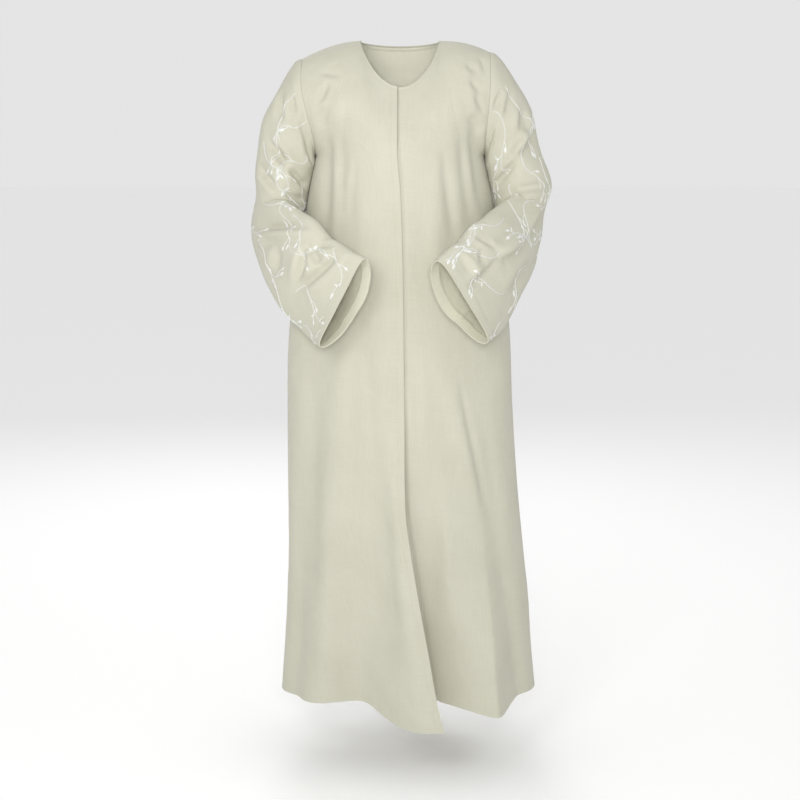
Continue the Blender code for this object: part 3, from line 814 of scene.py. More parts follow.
# painted light: the inside faces get a much paler copy of the linen, standing in for light that comes
# through the thin weave and lightens the shaded inside
linenInsidePaintedLight = makeLinen("linen_inside_painted_light", linenLook["innerPaintedLightPale"], linenLook["innerPaintedLightDark"])
sewingThread = Paint(
    "sewing_thread", Base_Color=(0.43, 0.41, 0.32, 1.0), Roughness=0.75
).material
vineThread = Paint(
    "vine_thread", Base_Color=(0.68, 0.685, 0.66, 1.0), Roughness=0.55, Sheen_Weight=0.2
).material
print("materials ready")


# the two fronts and the back
bodyPanels = {
    "columns": {"right": 118, "left": 118, "back": 164},
    "skirtLines": 208,
    "chestLines": 84,
    "hem": 0.009,             # stitch line above the hem edge
    "lapStitch": 0.012,       # stitch line beside the lap's edge
    "neckStitch": 0.007,
    "creaseGain": {"right": 1.3, "left": 1.3, "back": 2.0},
    "creaseLean": 0.4,
    "creaseSpread": 1.35,
    "lapShade": 0.0030,       # how far the covered front dips beside the lap's edge
    "shadeBand": (0.0015, 0.004),  # where that dip lies and how wide it is
    "settleReach": 0.045,
    "panelWidth": 0.4,        # rough, to turn the seam's gap into a share of the width
    "facing": (0.02, 0.3),    # the creases fade where the cloth turns to the side
    "hillsAlong": 0.22,       # the unevenness is stretched along the fall of the cloth
    "crumplesAlong": 0.6,
    "neckFrom": 0.52,         # share of a panel from which its top edge is the neck
    "seamHold": 0.016,        # the creases fade over this width beside the side seams
    "topHold": 0.014,
    "seeds": {"right": 3, "left": 3, "back": 8},
}


def edgeRoll(run, width):
    # A turned edge: the stitching pulls the cloth in a little, the edge itself stays full.
    sizes = clothSizes
    place, wide = sizes["rimShare"]
    dip = -sizes["stitchDip"] * np.exp(-(((run - width) / sizes["stitchReach"]) ** 2))
    return dip + sizes["rimPuff"] * np.exp(-(((run - place * width) / (wide * width)) ** 2))


def bodyPanel(which):
    sizes = bodyPanels
    columns = sizes["columns"][which]
    short = clothSizes["seamGap"] / sizes["panelWidth"]
    rest = 1 - short * (2 if which == "back" else 1)
    shares = short + np.linspace(0, 1, columns + 1) * rest
    rows = np.concatenate([
        np.linspace(0, bodySizes["skirtRows"], sizes["skirtLines"], endpoint=False),
        np.linspace(0, bodySizes["chestRows"], sizes["chestLines"] + 1) + bodySizes["skirtRows"],
    ])
    grid, share = bodyGrid(which, shares, rows)
    flip = which != "right"
    normals = gridNormals(grid, False, flip)
    grid = grid + normals * clothSizes["solidWall"]
    up, across = runOf(grid, 0), runOf(grid, 1)
    fromHem, fromTop = up, up[-1:] - up
    fromSeam = across if which != "back" else np.minimum(across, across[:, -1:] - across)
    fromFree = across[:, -1:] - across
    held = smooth(fromSeam / sizes["seamHold"]) * smooth(fromTop / sizes["topHold"])
    facing = ramp(normals[..., 1] * (1 if which == "back" else -1), *sizes["facing"])
    table = hiddenBodyCreases if which == "back" else bodyCreases
    rise = creaseRise(grid, table, sizes["creaseGain"][which], sizes) * facing
    place = grid[..., 0] if which != "back" else across
    hills, crumples = uneven(place, grid[..., 2], 0, which, sizes)
    rise = (rise + hills + crumples) * held + edgeRoll(fromHem, sizes["hem"])
    thick = np.full(rise.shape, clothSizes["cloth"])
    turned = clothSizes["turnedEdge"]
    past = clothSizes["turnedPast"]
    thick = np.where(fromHem < sizes["hem"] + past, turned, thick)
    if which == "right":
        rise = rise - bodySizes["lapSettle"] * smooth(1 - fromFree / sizes["settleReach"])
        rise = rise + edgeRoll(fromFree, sizes["lapStitch"])
    if which == "left":
        beside = grid[..., 0] - lapEdge(grid[..., 2])
        middle, wide = sizes["shadeBand"]
        rise = rise - sizes["lapShade"] * np.exp(-(((beside - middle) / wide) ** 2))
    if which != "back":
        thick = np.where(fromFree < sizes["lapStitch"] + past, turned, thick)
    neckSide = (1 - np.abs(1 - 2 * share) if which == "back" else share) > sizes["neckFrom"]
    thick = np.where(neckSide & (fromTop < sizes["neckStitch"] + past), turned, thick)
    rise = rise + np.where(neckSide, edgeRoll(fromTop, sizes["neckStitch"]), 0.0)
    grid = grid + normals * rise[..., None]
    normals = gridNormals(grid, False, flip)
    middle = across[:, across.shape[1] // 2][:, None] if which == "back" else across[:, -1:]
    uv = np.stack([across - middle, up], -1)
    panel = {"bare": grid, "bareNormals": normals, "closed": False}
    # the seam edges turn inwards: the side seam and armhole, and the shoulder
    outer, face = turnedIn(grid, normals, "first", 1)
    wide = [(0, 2), (2, 0)]
    if which == "back":
        outer, face = turnedIn(outer, face, "last", 1)
        wide[1] = (2, 2)
    outer, face = turnedIn(outer, face, "last", 0)
    panel.update(outer=outer, normals=face, thick=widened(thick, wide), uv=widened(uv, wide))
    return panel, flip


panels, cloth = {}, {}
for node, which in (("front_right", "right"), ("front_left", "left"), ("back", "back")):
    panels[which], turned = bodyPanel(which)
    cloth[node] = clothPanel("cloth_" + node, panels[which], linen, flip=turned)
print("fronts and back ready")


# the sleeves
sleevePanels = {
    "columns": 138,
    "lines": 176,
    "hem": 0.026,
    "seamFade": 0.022,        # the creases fade over this length beside the armhole
    "seamGap": 0.0004,
    "cuffFade": 0.03,
    "creaseGain": 2.1,
    "creaseLean": 0.6,
    "creaseSpread": 1.35,
    "seamColumn": 10,         # grid column of the seam along the underside
    "seamPucker": 0.0006,
    "seamAllowance": 0.0009,
    "noiseRound": 0.064,      # radius of the ring on which the unevenness closes
    "clearFrom": -0.217,      # below this height a sleeve is kept clear of the body
    "clearReach": 0.008,
    "clearGap": 0.0003,
    "clearFade": 0.012,
    "hillsAlong": 0.4,
    "crumplesAlong": 0.5,
    "frontFacing": (0.10, 0.45),
    "backFacing": (0.05, 0.3),
    "bodyFacing": (0.2, 0.3),
    "cuffHold": (0.45, 0.55),  # share of the rise that the cuff's edge keeps, and the rest
    "puckerReach": 0.8,
    "roundingPasses": 16,
    "roundingShare": 0.6,
    "roundedFrom": (0.10, 0.40),  # turn between neighbouring normals that is mild, and sharp
    "thinnedFrom": (0.08, 0.30),
    "thinnedBy": 0.88,
    "seeds": {"right": 21, "left": 33},
}


def armholeEdge(which, turns):
    # The body panels' own edge round the armhole, at the turns of the sleeve's grid.
    front = panels[which]["bare"][:, 0]
    back = panels["back"]["bare"][:, 0 if which == "right" else -1]
    wrapped = np.mod(turns, 2 * np.pi)
    first = bodyPanels["skirtLines"]
    places = np.arange(len(front) - first) / bodyPanels["chestLines"]
    edges = [
        np.stack([np.interp(up, places, edge[first:, k]) for k in range(3)], -1)
        for up, edge in ((1 - wrapped / np.pi, front), (wrapped / np.pi - 1, back))
    ]
    edge = np.where((wrapped > np.pi)[:, None], edges[1], edges[0])
    return edge + np.array([shoulderEnds[which]["side"] * sleevePanels["seamGap"], 0, 0])


def clearOfBody(which, grid):
    # Lifts the side of a sleeve that would sink into the body just off its cloth again.
    sizes = sleevePanels
    for body in (which, "back"):
        bare = panels[body]["bare"]
        index = np.arange(bare.shape[0] * bare.shape[1]).reshape(bare.shape[:2])
        quads = np.stack([index[:-1, :-1], index[:-1, 1:], index[1:, 1:], index[1:, :-1]], -1)
        quads = quads.reshape(-1, 4)
        if body != "right":
            quads = quads[:, ::-1]
        tree = BVHTree.FromPolygons(bare.reshape(-1, 3).tolist(), quads.tolist())
        for row, column in zip(*np.nonzero(grid[..., 2] < sizes["clearFrom"])):
            spot = Vector(grid[row, column])
            found, outward, _, _ = tree.find_nearest(spot, sizes["clearReach"])
            if found is None:
                continue
            depth = sizes["clearGap"] - (spot - found).dot(outward)
            share = smooth((sizes["clearFrom"] - spot.z) / sizes["clearFade"])
            grid[row, column] += np.array(outward) * max(depth, 0.0) * share
    return grid


def sleevePanel(which):
    sizes = sleevePanels
    columns = sizes["columns"]
    turns = 2 * np.pi * (np.arange(columns) / columns) + np.pi
    grid, turn, along = sleeveGrid(which, np.linspace(0, 1, sizes["lines"] + 1), turns)
    flip = which == "right"
    normals = gridNormals(grid, True, flip)
    grid = grid + normals * clothSizes["solidWall"]
    up = runOf(grid, 0)
    # the seam end is drawn to the edge of the body's armhole
    drawn = armholeEdge(which, turns) - grid[0]
    grid = grid + drawn * (1 - smooth(up / sizes["seamFade"]))[..., None]
    fromCuff = up[-1:] - up
    closedGrid = np.concatenate([grid, grid[:, :1]], 1)
    across = runOf(closedGrid, 1)
    frontFacing = ramp(-normals[..., 1], *sizes["frontFacing"])
    backFacing = ramp(normals[..., 1], *sizes["backFacing"])
    rise = creaseRise(grid, sleeveCreases[which], sizes["creaseGain"], sizes) * frontFacing
    hidden = creaseRise(grid, hiddenSleeveCreases[which], sizes["creaseGain"], sizes)
    rise = rise + hidden * backFacing
    aside, ahead = np.sin(turn) * sizes["noiseRound"], np.cos(turn) * sizes["noiseRound"]
    hills, crumples = uneven(aside, along, ahead, which, sizes)
    rise = rise + hills + crumples
    # the side against the body only ever sinks
    againstBody = normals[..., 0] * -shoulderEnds[which]["side"]
    touching = ramp(againstBody, *sizes["bodyFacing"])
    rise = np.where(rise > 0, rise * (1 - touching), rise)
    kept, more = sizes["cuffHold"]
    atCuff = kept + more * smooth(fromCuff / sizes["cuffFade"])
    rise = rise * smooth(up / sizes["seamFade"]) * atCuff + edgeRoll(fromCuff, sizes["hem"])
    turned = fromCuff < sizes["hem"] + clothSizes["turnedPast"]
    thick = np.where(turned, clothSizes["turnedEdge"], clothSizes["cloth"])
    # the seam along the underside: a fine pucker outside, its allowance inside
    offSeam = np.abs(np.arange(columns) - sizes["seamColumn"])
    rise = rise - sizes["seamPucker"] * np.exp(-((offSeam / sizes["puckerReach"]) ** 2))
    thick = thick + sizes["seamAllowance"] * (offSeam < 2)
    grid = clearOfBody(which, relaxed(grid + normals * rise[..., None], flip, sizes))
    normals = gridNormals(grid, True, flip)
    thick = thick * (1 - sizes["thinnedBy"] * pinchOf(normals, *sizes["thinnedFrom"]))
    uv = np.stack([across, np.concatenate([fromCuff, fromCuff[:, :1]], 1)], -1)
    panel = {"bare": grid, "bareNormals": normals, "closed": True}
    outer, face = turnedIn(grid, normals, "first", 0)
    wide = [(2, 0), (0, 0)]
    panel.update(outer=outer, normals=face, thick=widened(thick, wide), uv=widened(uv, wide))
    return panel, flip


for which in ("right", "left"):
    node = "sleeve_" + which
    panels[node], turned = sleevePanel(which)
    cloth[node] = clothPanel("cloth_" + node, panels[node], linen, closed=True, flip=turned)
print("sleeves ready")


# geometry trees for stitches, stems and leaves
class Growth:
    # A geometry tree with named inputs, used once on an object and then applied.
    def __init__(self, name, inputs):
        self.tree = bpy.data.node_groups.new(name, "GeometryNodeTree")
        face = self.tree.interface
        face.new_socket("Geometry", in_out="OUTPUT", socket_type="NodeSocketGeometry")
        face.new_socket("Geometry", in_out="INPUT", socket_type="NodeSocketGeometry")
        for label, kind in inputs.items():
            face.new_socket(label, in_out="INPUT", socket_type="NodeSocket" + kind)
        self.source = self.tree.nodes.new("NodeGroupInput").outputs
        self.sink = self.tree.nodes.new("NodeGroupOutput").inputs[0]

    def add(self, kind, inputs=None, out=0, **settings):
        node = self.tree.nodes.new(kind)
        for key, value in settings.items():
            setattr(node, key, value)
        for key, value in (inputs or {}).items():
            if isinstance(value, bpy.types.NodeSocket):
                self.tree.links.new(value, node.inputs[key])
            else:
                node.inputs[key].default_value = value
        return node.outputs[out]

    def attribute(self, name, kind="FLOAT_VECTOR"):
        return self.add("GeometryNodeInputNamedAttribute", {"Name": name}, data_type=kind)

    def vector(self, operation, *inputs):
        return self.add("ShaderNodeVectorMath", dict(enumerate(inputs)), operation=operation)

    def scaled(self, direction, length):
        return self.add("ShaderNodeVectorMath", {0: direction, "Scale": length}, operation="SCALE")

    def resampled(self, curve, step):
        inputs = {"Curve": curve, "Length": step}
        return self.add("GeometryNodeResampleCurve", inputs, mode="LENGTH")

    def standing(self, heading):
        # Turned with Z out of the cloth and Y along the heading.
        inputs = {"Primary Axis": self.attribute("outward"), "Secondary Axis": heading}
        axes = {"primary_axis": "Z", "secondary_axis": "Y"}
        return self.add("FunctionNodeAxesToRotation", inputs, **axes)

    def close(self, geometry, material):
        real = self.add("GeometryNodeRealizeInstances", {0: geometry})
        done = self.add("GeometryNodeSetMaterial", {0: real, "Material": material})
        self.tree.links.new(done, self.sink)

    def grow(self, name, mesh, values):
        # Runs the tree on a mesh and gives back the result as a plain object.
        carrier = newObject(name + "_lines", mesh)
        modifier = carrier.modifiers.new("growth", "NODES")
        modifier.node_group = self.tree
        for item in self.tree.interface.items_tree:
            if item.in_out == "INPUT" and item.name in values:
                modifier[item.identifier] = values[item.name]
        bpy.context.view_layer.update()
        evaluated = carrier.evaluated_get(bpy.context.evaluated_depsgraph_get())
        result = bpy.data.meshes.new_from_object(evaluated)
        result.name = name
        carrier.modifiers.remove(modifier)
        bpy.data.objects.remove(carrier)
        return newObject(name, result)


def storeValues(mesh, label, kind, values):
    # Stores a number or a direction on every point of a mesh.
    data = mesh.attributes.new(label, kind, "POINT").data
    key = "value" if kind == "FLOAT" else "vector"
    data.foreach_set(key, np.array(values, np.float32).ravel())


def linesMesh(name, lines):
    # Several open lines of points with their outward directions.
    points = np.concatenate([line[0] for line in lines])
    outward = np.concatenate([line[1] for line in lines])
    edges, start = [], 0
    for line in lines:
        count = len(line[0])
        edges += [(start + k, start + k + 1) for k in range(count - 1)]
        start += count
    mesh = bpy.data.meshes.new(name)
    mesh.from_pydata(points.tolist(), edges, [])
    storeValues(mesh, "outward", "FLOAT_VECTOR", outward)
    return mesh


def stitchTree():
    growth = Growth("stitch_row", {
        "Pitch": "Float", "Length": "Float", "Width": "Float", "Material": "Material",
    })
    source = growth.source
    curve = growth.add("GeometryNodeMeshToCurve", {0: source["Geometry"]})
    spaced = growth.resampled(curve, source["Pitch"])
    stitch = growth.add("GeometryNodeMeshIcoSphere", {"Radius": 1.0, "Subdivisions": 1})
    size = growth.add("ShaderNodeCombineXYZ", {
        "X": source["Width"], "Y": source["Length"], "Z": source["Width"],
    })
    turning = growth.standing(growth.add("GeometryNodeInputTangent"))
    laid = growth.add("GeometryNodeInstanceOnPoints", {
        "Points": spaced, "Instance": stitch, "Rotation": turning, "Scale": size,
    })
    growth.close(laid, source["Material"])
    return growth


stitching = {"pitch": 0.0034, "length": 0.00125, "width": 0.00026, "sunk": 0.00005}


def stitchLines():
    lines = []
    sizes = bodyPanels
    for which, start, stop in (("right", 0.5, 1.0), ("left", 0.5, 1.0), ("back", 0.26, 0.74)):
        lines.append(lineBeside(panels[which], "low", sizes["hem"]))
        lines.append(lineBeside(panels[which], "top", sizes["neckStitch"], start, stop))
    lines.append(lineBeside(panels["right"], "last", sizes["lapStitch"], 0.008, 0.985))
    for which in ("right", "left"):
        around = lineBeside(panels["sleeve_" + which], "top", sleevePanels["hem"])
        lines.append([np.concatenate([values, values[:1]]) for values in around])
    return [(points - outward * stitching["sunk"], outward) for points, outward in lines]


stitchRow = stitchTree()
stitches = stitchRow.grow("stitches", linesMesh("stitch_lines", stitchLines()), {
    "Pitch": stitching["pitch"], "Length": stitching["length"], "Width": stitching["width"],
    "Material": sewingThread,
})
print("stitches ready")


# embroidered vines
vineSizes = {
    "stemRadius": 0.00045,
    "stemSpread": 0.00085,    # half the distance between a stem's two threads
    "stalkRadius": 0.00040,
    "leafLength": 0.0135,
    "leafWidth": 0.0058,
    "leafPuff": 0.0007,
    "leafUnder": 0.0003,      # how far a leaf's under side lies in the cloth
    "leafHover": 0.0015,      # height of the loose leaf, from which it is laid on the cloth
    "leafCells": (4, 5),
    "veinDepth": (0.35, 0.75),  # of a full leaf and of an open one
    "veinWidth": (0.16, 0.45),
    "stalkLength": 0.015,
    "stalkStep": 0.0015,
    "stemStep": 0.0025,
    "threadStep": 0.0024,
    "threadSides": 6,
    "threadRaise": 0.0003,
    "headingStep": 0.002,
    "cuffGap": 0.004,         # stems end this far before the cuff, leaves further up
    "leafGap": 0.016,
    "flatReach": 0.006,       # a leaf is left out where the cloth turns sharply this near to it
    "flatLimit": 0.5,
    "tipLeaf": (1.0, 0.15),   # size of the leaf at a stem's tip, and what chance adds
    "stalkLeaf": (0.8, 0.3),
    "stalkShares": (0.6, 0.9),
    "stalkLean": (40, 22),
    "stalkBends": (10, 25),
    "stalkPlaces": (0.93, 0.62, 0.35),  # the first from a stem's foot, their spread, their stray
    "smallLeaf": 0.7,
    "smallOdds": 0.35,
    "smallPlace": 0.4,
    "smallLean": 0.9,
    "leafCurve": (0.85, 0.8),
    "leafTip": 0.02,
    "leafEdge": 0.25,
    "seed": 12,
}
# Each vine: place round the sleeve (0 in front, towards the body positive) and along it in
# millimetres, heading (0 towards the cuff) and two bends in degrees, length in millimetres, and
# how many leaves stand on stalks.
vineTables = {
    "right": [
        (-30, 30, -30, 70, -90, 130, 3), (22, 22, 0, -70, 110, 110, 2), (52, 70, 30, -110, 60, 100, 2),
        (-62, 115, 40, 50, -120, 125, 3), (0, 140, -40, 110, -50, 110, 3),
        (60, 155, -20, 60, -70, 90, 2), (-45, 238, -10, 60, -70, 105, 3),
        (-12, 290, -60, 60, -80, 130, 3), (-112, 285, 20, -70, 90, 120, 3),
        (-28, 360, 10, -80, 90, 125, 3), (-82, 392, -30, 90, -100, 130, 3),
        (-145, 370, -20, -30, 90, 120, 3), (-130, 452, 60, -100, 40, 105, 3),
        (-30, 500, -60, 40, -60, 80, 2), (-175, 490, 30, -50, 60, 70, 2),
        (-140, 70, 10, -60, 90, 130, 3), (-150, 200, -20, 80, -50, 120, 4),
        (125, 70, 10, 80, -90, 130, 3), (150, 180, -30, 80, 40, 130, 3),
        (80, 290, 40, -80, 90, 130, 3), (160, 350, -20, 90, -60, 120, 3),
        (75, 430, 30, -80, 70, 120, 3), (140, 490, 20, -70, 80, 80, 2),
    ],
    "left": [
        (-52, 45, 25, -90, 90, 130, 3), (8, 30, -40, 100, -90, 125, 3), (52, 80, -30, 70, -60, 105, 2),
        (-18, 118, 40, -100, 50, 110, 3), (-66, 150, 20, -70, 100, 100, 3),
        (28, 165, 30, -80, 40, 80, 2), (-46, 240, 40, -100, 60, 125, 3),
        (-6, 292, -40, -40, 90, 120, 3), (-104, 268, -30, 80, -60, 120, 3),
        (-40, 366, -30, 80, -80, 120, 3), (-132, 350, 30, -90, 60, 120, 3),
        (-86, 436, -20, 90, -90, 120, 3), (-18, 450, -60, 80, -40, 100, 2),
        (-140, 462, 10, 60, -100, 100, 3), (-178, 500, 20, -50, 60, 65, 2),
        (-135, 60, 10, 70, -60, 120, 3), (-150, 190, -30, 90, -50, 120, 3),
        (120, 70, 20, -70, 80, 130, 3), (155, 190, -20, 90, -40, 130, 3),
        (80, 280, 30, -80, 70, 120, 3), (155, 360, -40, 60, 60, 120, 3),
        (80, 440, 30, -90, 60, 110, 3), (145, 490, 10, -60, 90, 80, 2),
    ],
}


def flatPath(start, heading, bends, length, step):
    # A bending line in the flat of the sleeve, as (round, along) places and headings.
    count = max(int(length / step), 4)
    share = (np.arange(count) + 0.5) / count
    first, second = bends
    rate = np.where(share < 0.5, first, second) * 2
    turning = np.radians(heading + np.cumsum(rate) / count)
    steps = np.stack([np.sin(turning), np.cos(turning)], 1) * length / count
    places = np.concatenate([[start], start + np.cumsum(steps, 0)])
    return places, np.concatenate([[math.radians(heading)], turning])


def vineParts(which):
    sizes = vineSizes
    chance = np.random.default_rng(sizes["seed"] + (which == "left"))

    def drawn(name):
        least, more = sizes[name]
        return least + more * chance.random()

    top, spread, stray = sizes["stalkPlaces"]
    stems, stalks, leaves = [], [], []
    for around, along, heading, first, second, length, count in vineTables[which]:
        start = np.array([around, along]) / 1000
        path, turning = flatPath(start, heading, (first, second), length / 1000, sizes["stemStep"])
        stems.append(path)
        leaves.append((path[-1], turning[-1], drawn("tipLeaf")))
        for k in range(count):
            at = int(len(path) * (top - (spread / count) * (k + stray * chance.random())))
            side = 1 if (k + len(stems)) % 2 else -1
            lean = math.degrees(turning[at]) + side * drawn("stalkLean")
            reach = sizes["stalkLength"] * drawn("stalkShares")
            bends = [-side * bend for bend in sizes["stalkBends"]]
            stalk, aim = flatPath(path[at], lean, bends, reach, sizes["stalkStep"])
            stalks.append(stalk)
            leaves.append((stalk[-1], aim[-1], drawn("stalkLeaf")))
            if chance.random() < sizes["smallOdds"]:
                here = int(len(stalk) * sizes["smallPlace"])
                aside = aim[here] + side * sizes["smallLean"]
                leaves.append((stalk[here], aside, sizes["smallLeaf"]))
    return stems, stalks, leaves


def onSleeve(which, places):
    # From the flat of the sleeve to points on its cloth.
    panel = panels["sleeve_" + which]
    rows, columns = panel["bare"].shape[:2]
    row = places[:, 1] / sleeveLength[which] * (rows - 1)
    girth = np.interp(row, np.arange(rows), sleeveGirth[which])
    # the grid starts on the body's side and turns over the rear, or over the front
    turn = np.pi / 2 + places[:, 0] / girth * 2 * np.pi
    column = np.mod(turn - np.pi, 2 * np.pi) / (2 * np.pi) * columns
    return spotsOn(panel, column, row)


sleeveLength, sleeveGirth = {}, {}
for which in ("right", "left"):
    bare = panels["sleeve_" + which]["bare"]
    sleeveLength[which] = float(runOf(bare, 0)[-1].mean())
    sleeveGirth[which] = np.linalg.norm(bare - np.roll(bare, 1, 1), axis=-1).sum(1)
    print("sleeve", which, "is", round(sleeveLength[which], 3), "long")


def liesFlat(which, place):
    # False in the pinch of the elbow, where a leaf would be pulled out of shape.
    beside = np.array([(0, 0), (1, 0), (-1, 0), (0, 1), (0, -1), (0, 2), (0, -2)])
    _, outward = onSleeve(which, place + beside * vineSizes["flatReach"])
    return (outward @ outward[0]).min() > vineSizes["flatLimit"]


def stemTree():
    growth = Growth("vine_stem", {
        "Radius": "Float", "Spread": "Float", "Step": "Float", "Material": "Material",
    })
    source = growth.source
    curve = growth.add("GeometryNodeMeshToCurve", {0: source["Geometry"]})
    spaced = growth.resampled(curve, source["Step"])
    outward = growth.attribute("outward")
    tangent = growth.add("GeometryNodeInputTangent")
    sideways = growth.vector("NORMALIZE", growth.vector("CROSS_PRODUCT", tangent, outward))
    raised = growth.scaled(outward, vineSizes["threadRaise"])
    profile = growth.add("GeometryNodeCurvePrimitiveCircle", {
        "Resolution": vineSizes["threadSides"], "Radius": source["Radius"],
    })
    both = growth.tree.nodes.new("GeometryNodeJoinGeometry")
    for sign in (-1.0, 1.0):
        shift = growth.scaled(growth.scaled(sideways, source["Spread"]), sign)
        moved = growth.add("GeometryNodeSetPosition", {
            "Geometry": spaced, "Offset": growth.vector("ADD", shift, raised),
        })
        thread = growth.add("GeometryNodeCurveToMesh", {
            "Curve": moved, "Profile Curve": profile, "Fill Caps": True,
        })
        growth.tree.links.new(thread, both.inputs[0])
    soft = growth.add("GeometryNodeSetShadeSmooth", {0: both.outputs[0]})
    growth.close(soft, source["Material"])
    return growth


def leafStamp(name, opened):
    # One satin leaf, lying along Y from its stalk, with its height kept for laying it on cloth.
    sizes = vineSizes
    across, along = sizes["leafCells"]
    deep, narrow = sizes["veinDepth"][opened], sizes["veinWidth"][opened]
    lengthwise, crosswise = sizes["leafCurve"]
    edge = sizes["leafEdge"] * sizes["leafWidth"]
    points, heights = [], []
    for side in ("top", "under"):
        for j in range(along + 1):
            t = j / along
            share = sizes["leafTip"]
            if 0 < t < 1:
                share = math.sin(math.pi * t**lengthwise) ** crosswise
            wide = sizes["leafWidth"] / 2 * share
            for i in range(across + 1):
                s = 2 * i / across - 1
                full = (1 - s * s) ** 0.5 * min(1.0, wide / edge)
                vein = 1 - deep * math.exp(-((s / narrow) ** 2))
                top = sizes["leafPuff"] * full * vein
                points.append((s * wide, t * sizes["leafLength"], sizes["leafHover"]))
                heights.append(top if side == "top" else -sizes["leafUnder"])
    grid = (across + 1) * (along + 1)
    faces = []
    for j in range(along):
        for i in range(across):
            a = j * (across + 1) + i
            quad = (a, a + 1, a + across + 2, a + across + 1)
            faces += [quad, tuple(grid + k for k in reversed(quad))]
    border = [i for i in range(across)] + [j * (across + 1) + across for j in range(along)]
    border += [along * (across + 1) + i for i in range(across, 0, -1)]
    border += [j * (across + 1) for j in range(along, 0, -1)]
    for near, far in zip(border, border[1:] + border[:1]):
        faces.append((far, near, near + grid, far + grid))
    mesh = bpy.data.meshes.new(name)
    mesh.from_pydata(points, [], faces)
    storeValues(mesh, "height", "FLOAT", heights)
    mesh.shade_smooth()
    return newObject(name, mesh)


def leafTree():
    growth = Growth("vine_leaf", {"Leaf": "Object", "Cloth": "Object", "Material": "Material"})
    source = growth.source
    leaf = growth.add("GeometryNodeObjectInfo", {"Object": source["Leaf"]}, out="Geometry")
    base = growth.add("GeometryNodeObjectInfo", {"Object": source["Cloth"]}, out="Geometry")
    turning = growth.standing(growth.attribute("heading"))
    laid = growth.add("GeometryNodeInstanceOnPoints", {
        "Points": source["Geometry"], "Instance": leaf, "Rotation": turning,
        "Scale": growth.attribute("leafSize", "FLOAT"),
    })
    real = growth.add("GeometryNodeRealizeInstances", {0: laid})
    here = growth.add("GeometryNodeInputPosition")
    nearest = {0: base, "Sample Position": here}
    onto = growth.add("GeometryNodeProximity", nearest, target_element="FACES")
    facing = growth.add("GeometryNodeSampleNearestSurface", {
        "Mesh": base, "Value": growth.add("GeometryNodeInputNormal"), "Sample Position": here,
    }, data_type="FLOAT_VECTOR")
    raised = growth.scaled(growth.vector("NORMALIZE", facing), growth.attribute("height", "FLOAT"))
    placed = growth.add("GeometryNodeSetPosition", {
        "Geometry": real, "Position": growth.vector("ADD", onto, raised),
    })
    growth.close(placed, source["Material"])
    return growth


def pointsMesh(name, which, leaves):
    places = np.array([leaf[0] for leaf in leaves])
    aim = np.array([leaf[1] for leaf in leaves])
    ahead = places + np.stack([np.sin(aim), np.cos(aim)], 1) * vineSizes["headingStep"]
    points, outward = onSleeve(which, places)
    further, _ = onSleeve(which, ahead)
    mesh = bpy.data.meshes.new(name)
    mesh.from_pydata(points.tolist(), [], [])
    storeValues(mesh, "outward", "FLOAT_VECTOR", outward)
    storeValues(mesh, "heading", "FLOAT_VECTOR", unit(further - points))
    storeValues(mesh, "leafSize", "FLOAT", [leaf[2] for leaf in leaves])
    return mesh


stemGrowth, leafGrowth = stemTree(), leafTree()
fullLeaf, openLeaf = leafStamp("full_leaf", False), leafStamp("open_leaf", True)
embroidery = []
for which in ("right", "left"):
    stems, stalks, leaves = vineParts(which)
    limit = sleeveLength[which] - vineSizes["cuffGap"]
    leafLimit = limit - vineSizes["leafGap"]
    leaves = [leaf for leaf in leaves if leaf[0][1] < leafLimit and liesFlat(which, leaf[0])]
    for kind, paths, radius, spread in (
        ("stems_", stems, vineSizes["stemRadius"], vineSizes["stemSpread"]),
        ("stalks_", stalks, vineSizes["stalkRadius"], 0.8 * vineSizes["stalkRadius"]),
    ):
        kept = [path[path[:, 1] < limit] for path in paths]
        lines = [onSleeve(which, path) for path in kept if len(path) > 2]
        embroidery.append(stemGrowth.grow(kind + which, linesMesh(kind + "lines", lines), {
            "Radius": radius, "Spread": spread, "Step": vineSizes["threadStep"],
            "Material": vineThread,
        }))
    for kind, stamp, part in (
        ("full_leaves_", fullLeaf, leaves[::2]), ("open_leaves_", openLeaf, leaves[1::2]),
    ):
        embroidery.append(leafGrowth.grow(kind + which, pointsMesh(kind + "points", which, part), {
            "Leaf": stamp, "Cloth": cloth["sleeve_" + which], "Material": vineThread,
        }))
    print("vines on the", which, "sleeve:", len(stems), "stems", len(leaves), "leaves")
bpy.data.objects.remove(fullLeaf)
bpy.data.objects.remove(openLeaf)
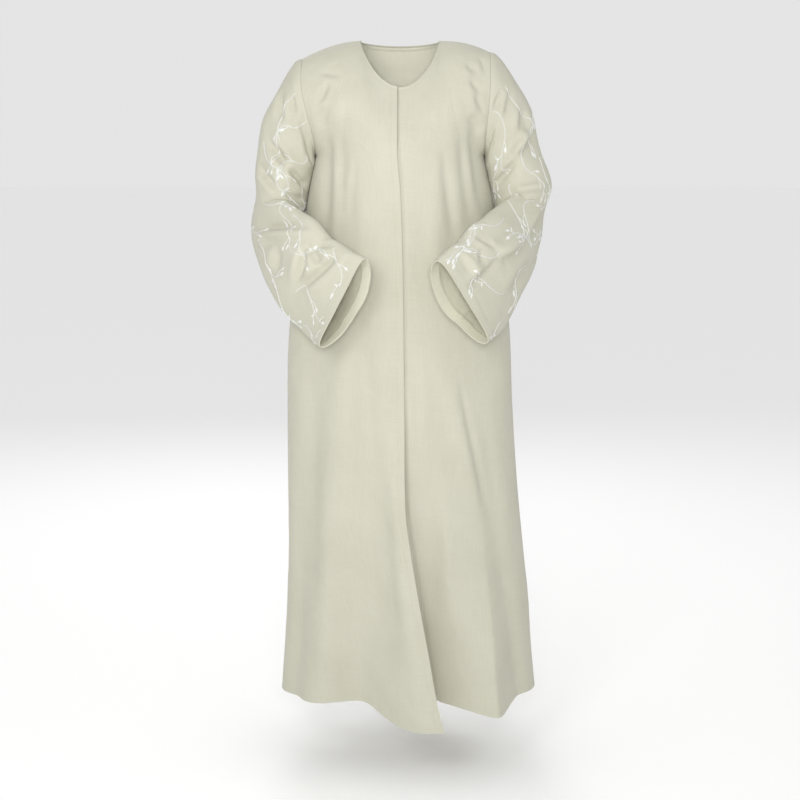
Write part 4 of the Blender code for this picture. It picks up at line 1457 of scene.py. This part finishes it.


# each piece hangs from the root, and the solid it stands for is hidden
cuts = {  # width, length and area of each flat piece
    "front_right": (0.446, 1.325, 0.385),
    "front_left": (0.409, 1.330, 0.410),
    "back": (0.861, 1.340, 0.744),
    "sleeve_right": (0.527, 0.710, 0.240),
    "sleeve_left": (0.544, 0.700, 0.230),
}
for node, made in cloth.items():
    wide, long, area = cuts[node]
    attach(made, "root")
    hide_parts(node)
    "cloth_" + node
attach(stitches, "root")
for part in embroidery:
    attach(part, "root")


# floor, light and camera
studio = {
    "floorHeight": -1.411,
    "floorReach": 40.0,
    "floorColour": (0.985, 0.985, 0.985, 1.0),
    "skyColour": (1.0, 1.0, 1.0, 1.0),
    "skyStrength": 0.78,
}
bpy.ops.mesh.primitive_circle_add(
    vertices=96, radius=studio["floorReach"], fill_type="NGON",
    location=(0, 0, studio["floorHeight"]),
)
floor = bpy.context.object
floor.name = "floor"
floor.data.materials.append(
    Paint("floor", Base_Color=studio["floorColour"], Roughness=0.9).material
)

world = bpy.data.worlds.new("studio")
bpy.context.scene.world = world
world.use_nodes = True
sky = world.node_tree.nodes["Background"].inputs
sky["Color"].default_value = studio["skyColour"]
sky["Strength"].default_value = studio["skyStrength"]

lamps = {  # place, aim, width, height, spread in degrees, watts
    "front_box": ((-0.55, -2.1, 0.12), (0.0, 0.0, -0.35), 0.6, 0.6, 180, 11.5),
    "camera_box": ((0.0, -3.2, -0.05), (0.0, 0.0, -0.20), 0.5, 0.4, 80, 8.6),
    "back_box": ((-0.4, 2.8, 1.2), (0.0, 0.0, -0.5), 1.6, 1.6, 180, 24.0),
}
for name, (place, aim, wide, tall, spread, watts) in lamps.items():
    data = bpy.data.lights.new(name, "AREA")
    data.shape, data.size, data.size_y, data.energy = "RECTANGLE", wide, tall, watts
    data.spread = math.radians(spread)
    lamp = newObject(name, data)
    lamp.location = place
    away = np.array(place) - np.array(aim)
    flat = math.hypot(away[0], away[1])
    lamp.rotation_euler = (math.atan2(flat, away[2]), 0, math.atan2(away[0], -away[1]))

cameraSizes = {"place": (0.0, -3.39, -0.178), "downTilt": 8.62, "lens": 78.345}
cameraData = bpy.data.cameras.new("camera")
cameraData.lens = cameraSizes["lens"]
cameraData.sensor_width = 36.0
camera = newObject("camera", cameraData)
camera.location = cameraSizes["place"]
camera.rotation_euler = (math.radians(90 - cameraSizes["downTilt"]), 0, 0)
bpy.context.scene.camera = camera
bpy.context.scene.view_settings.view_transform = "Standard"

print("stage ready")
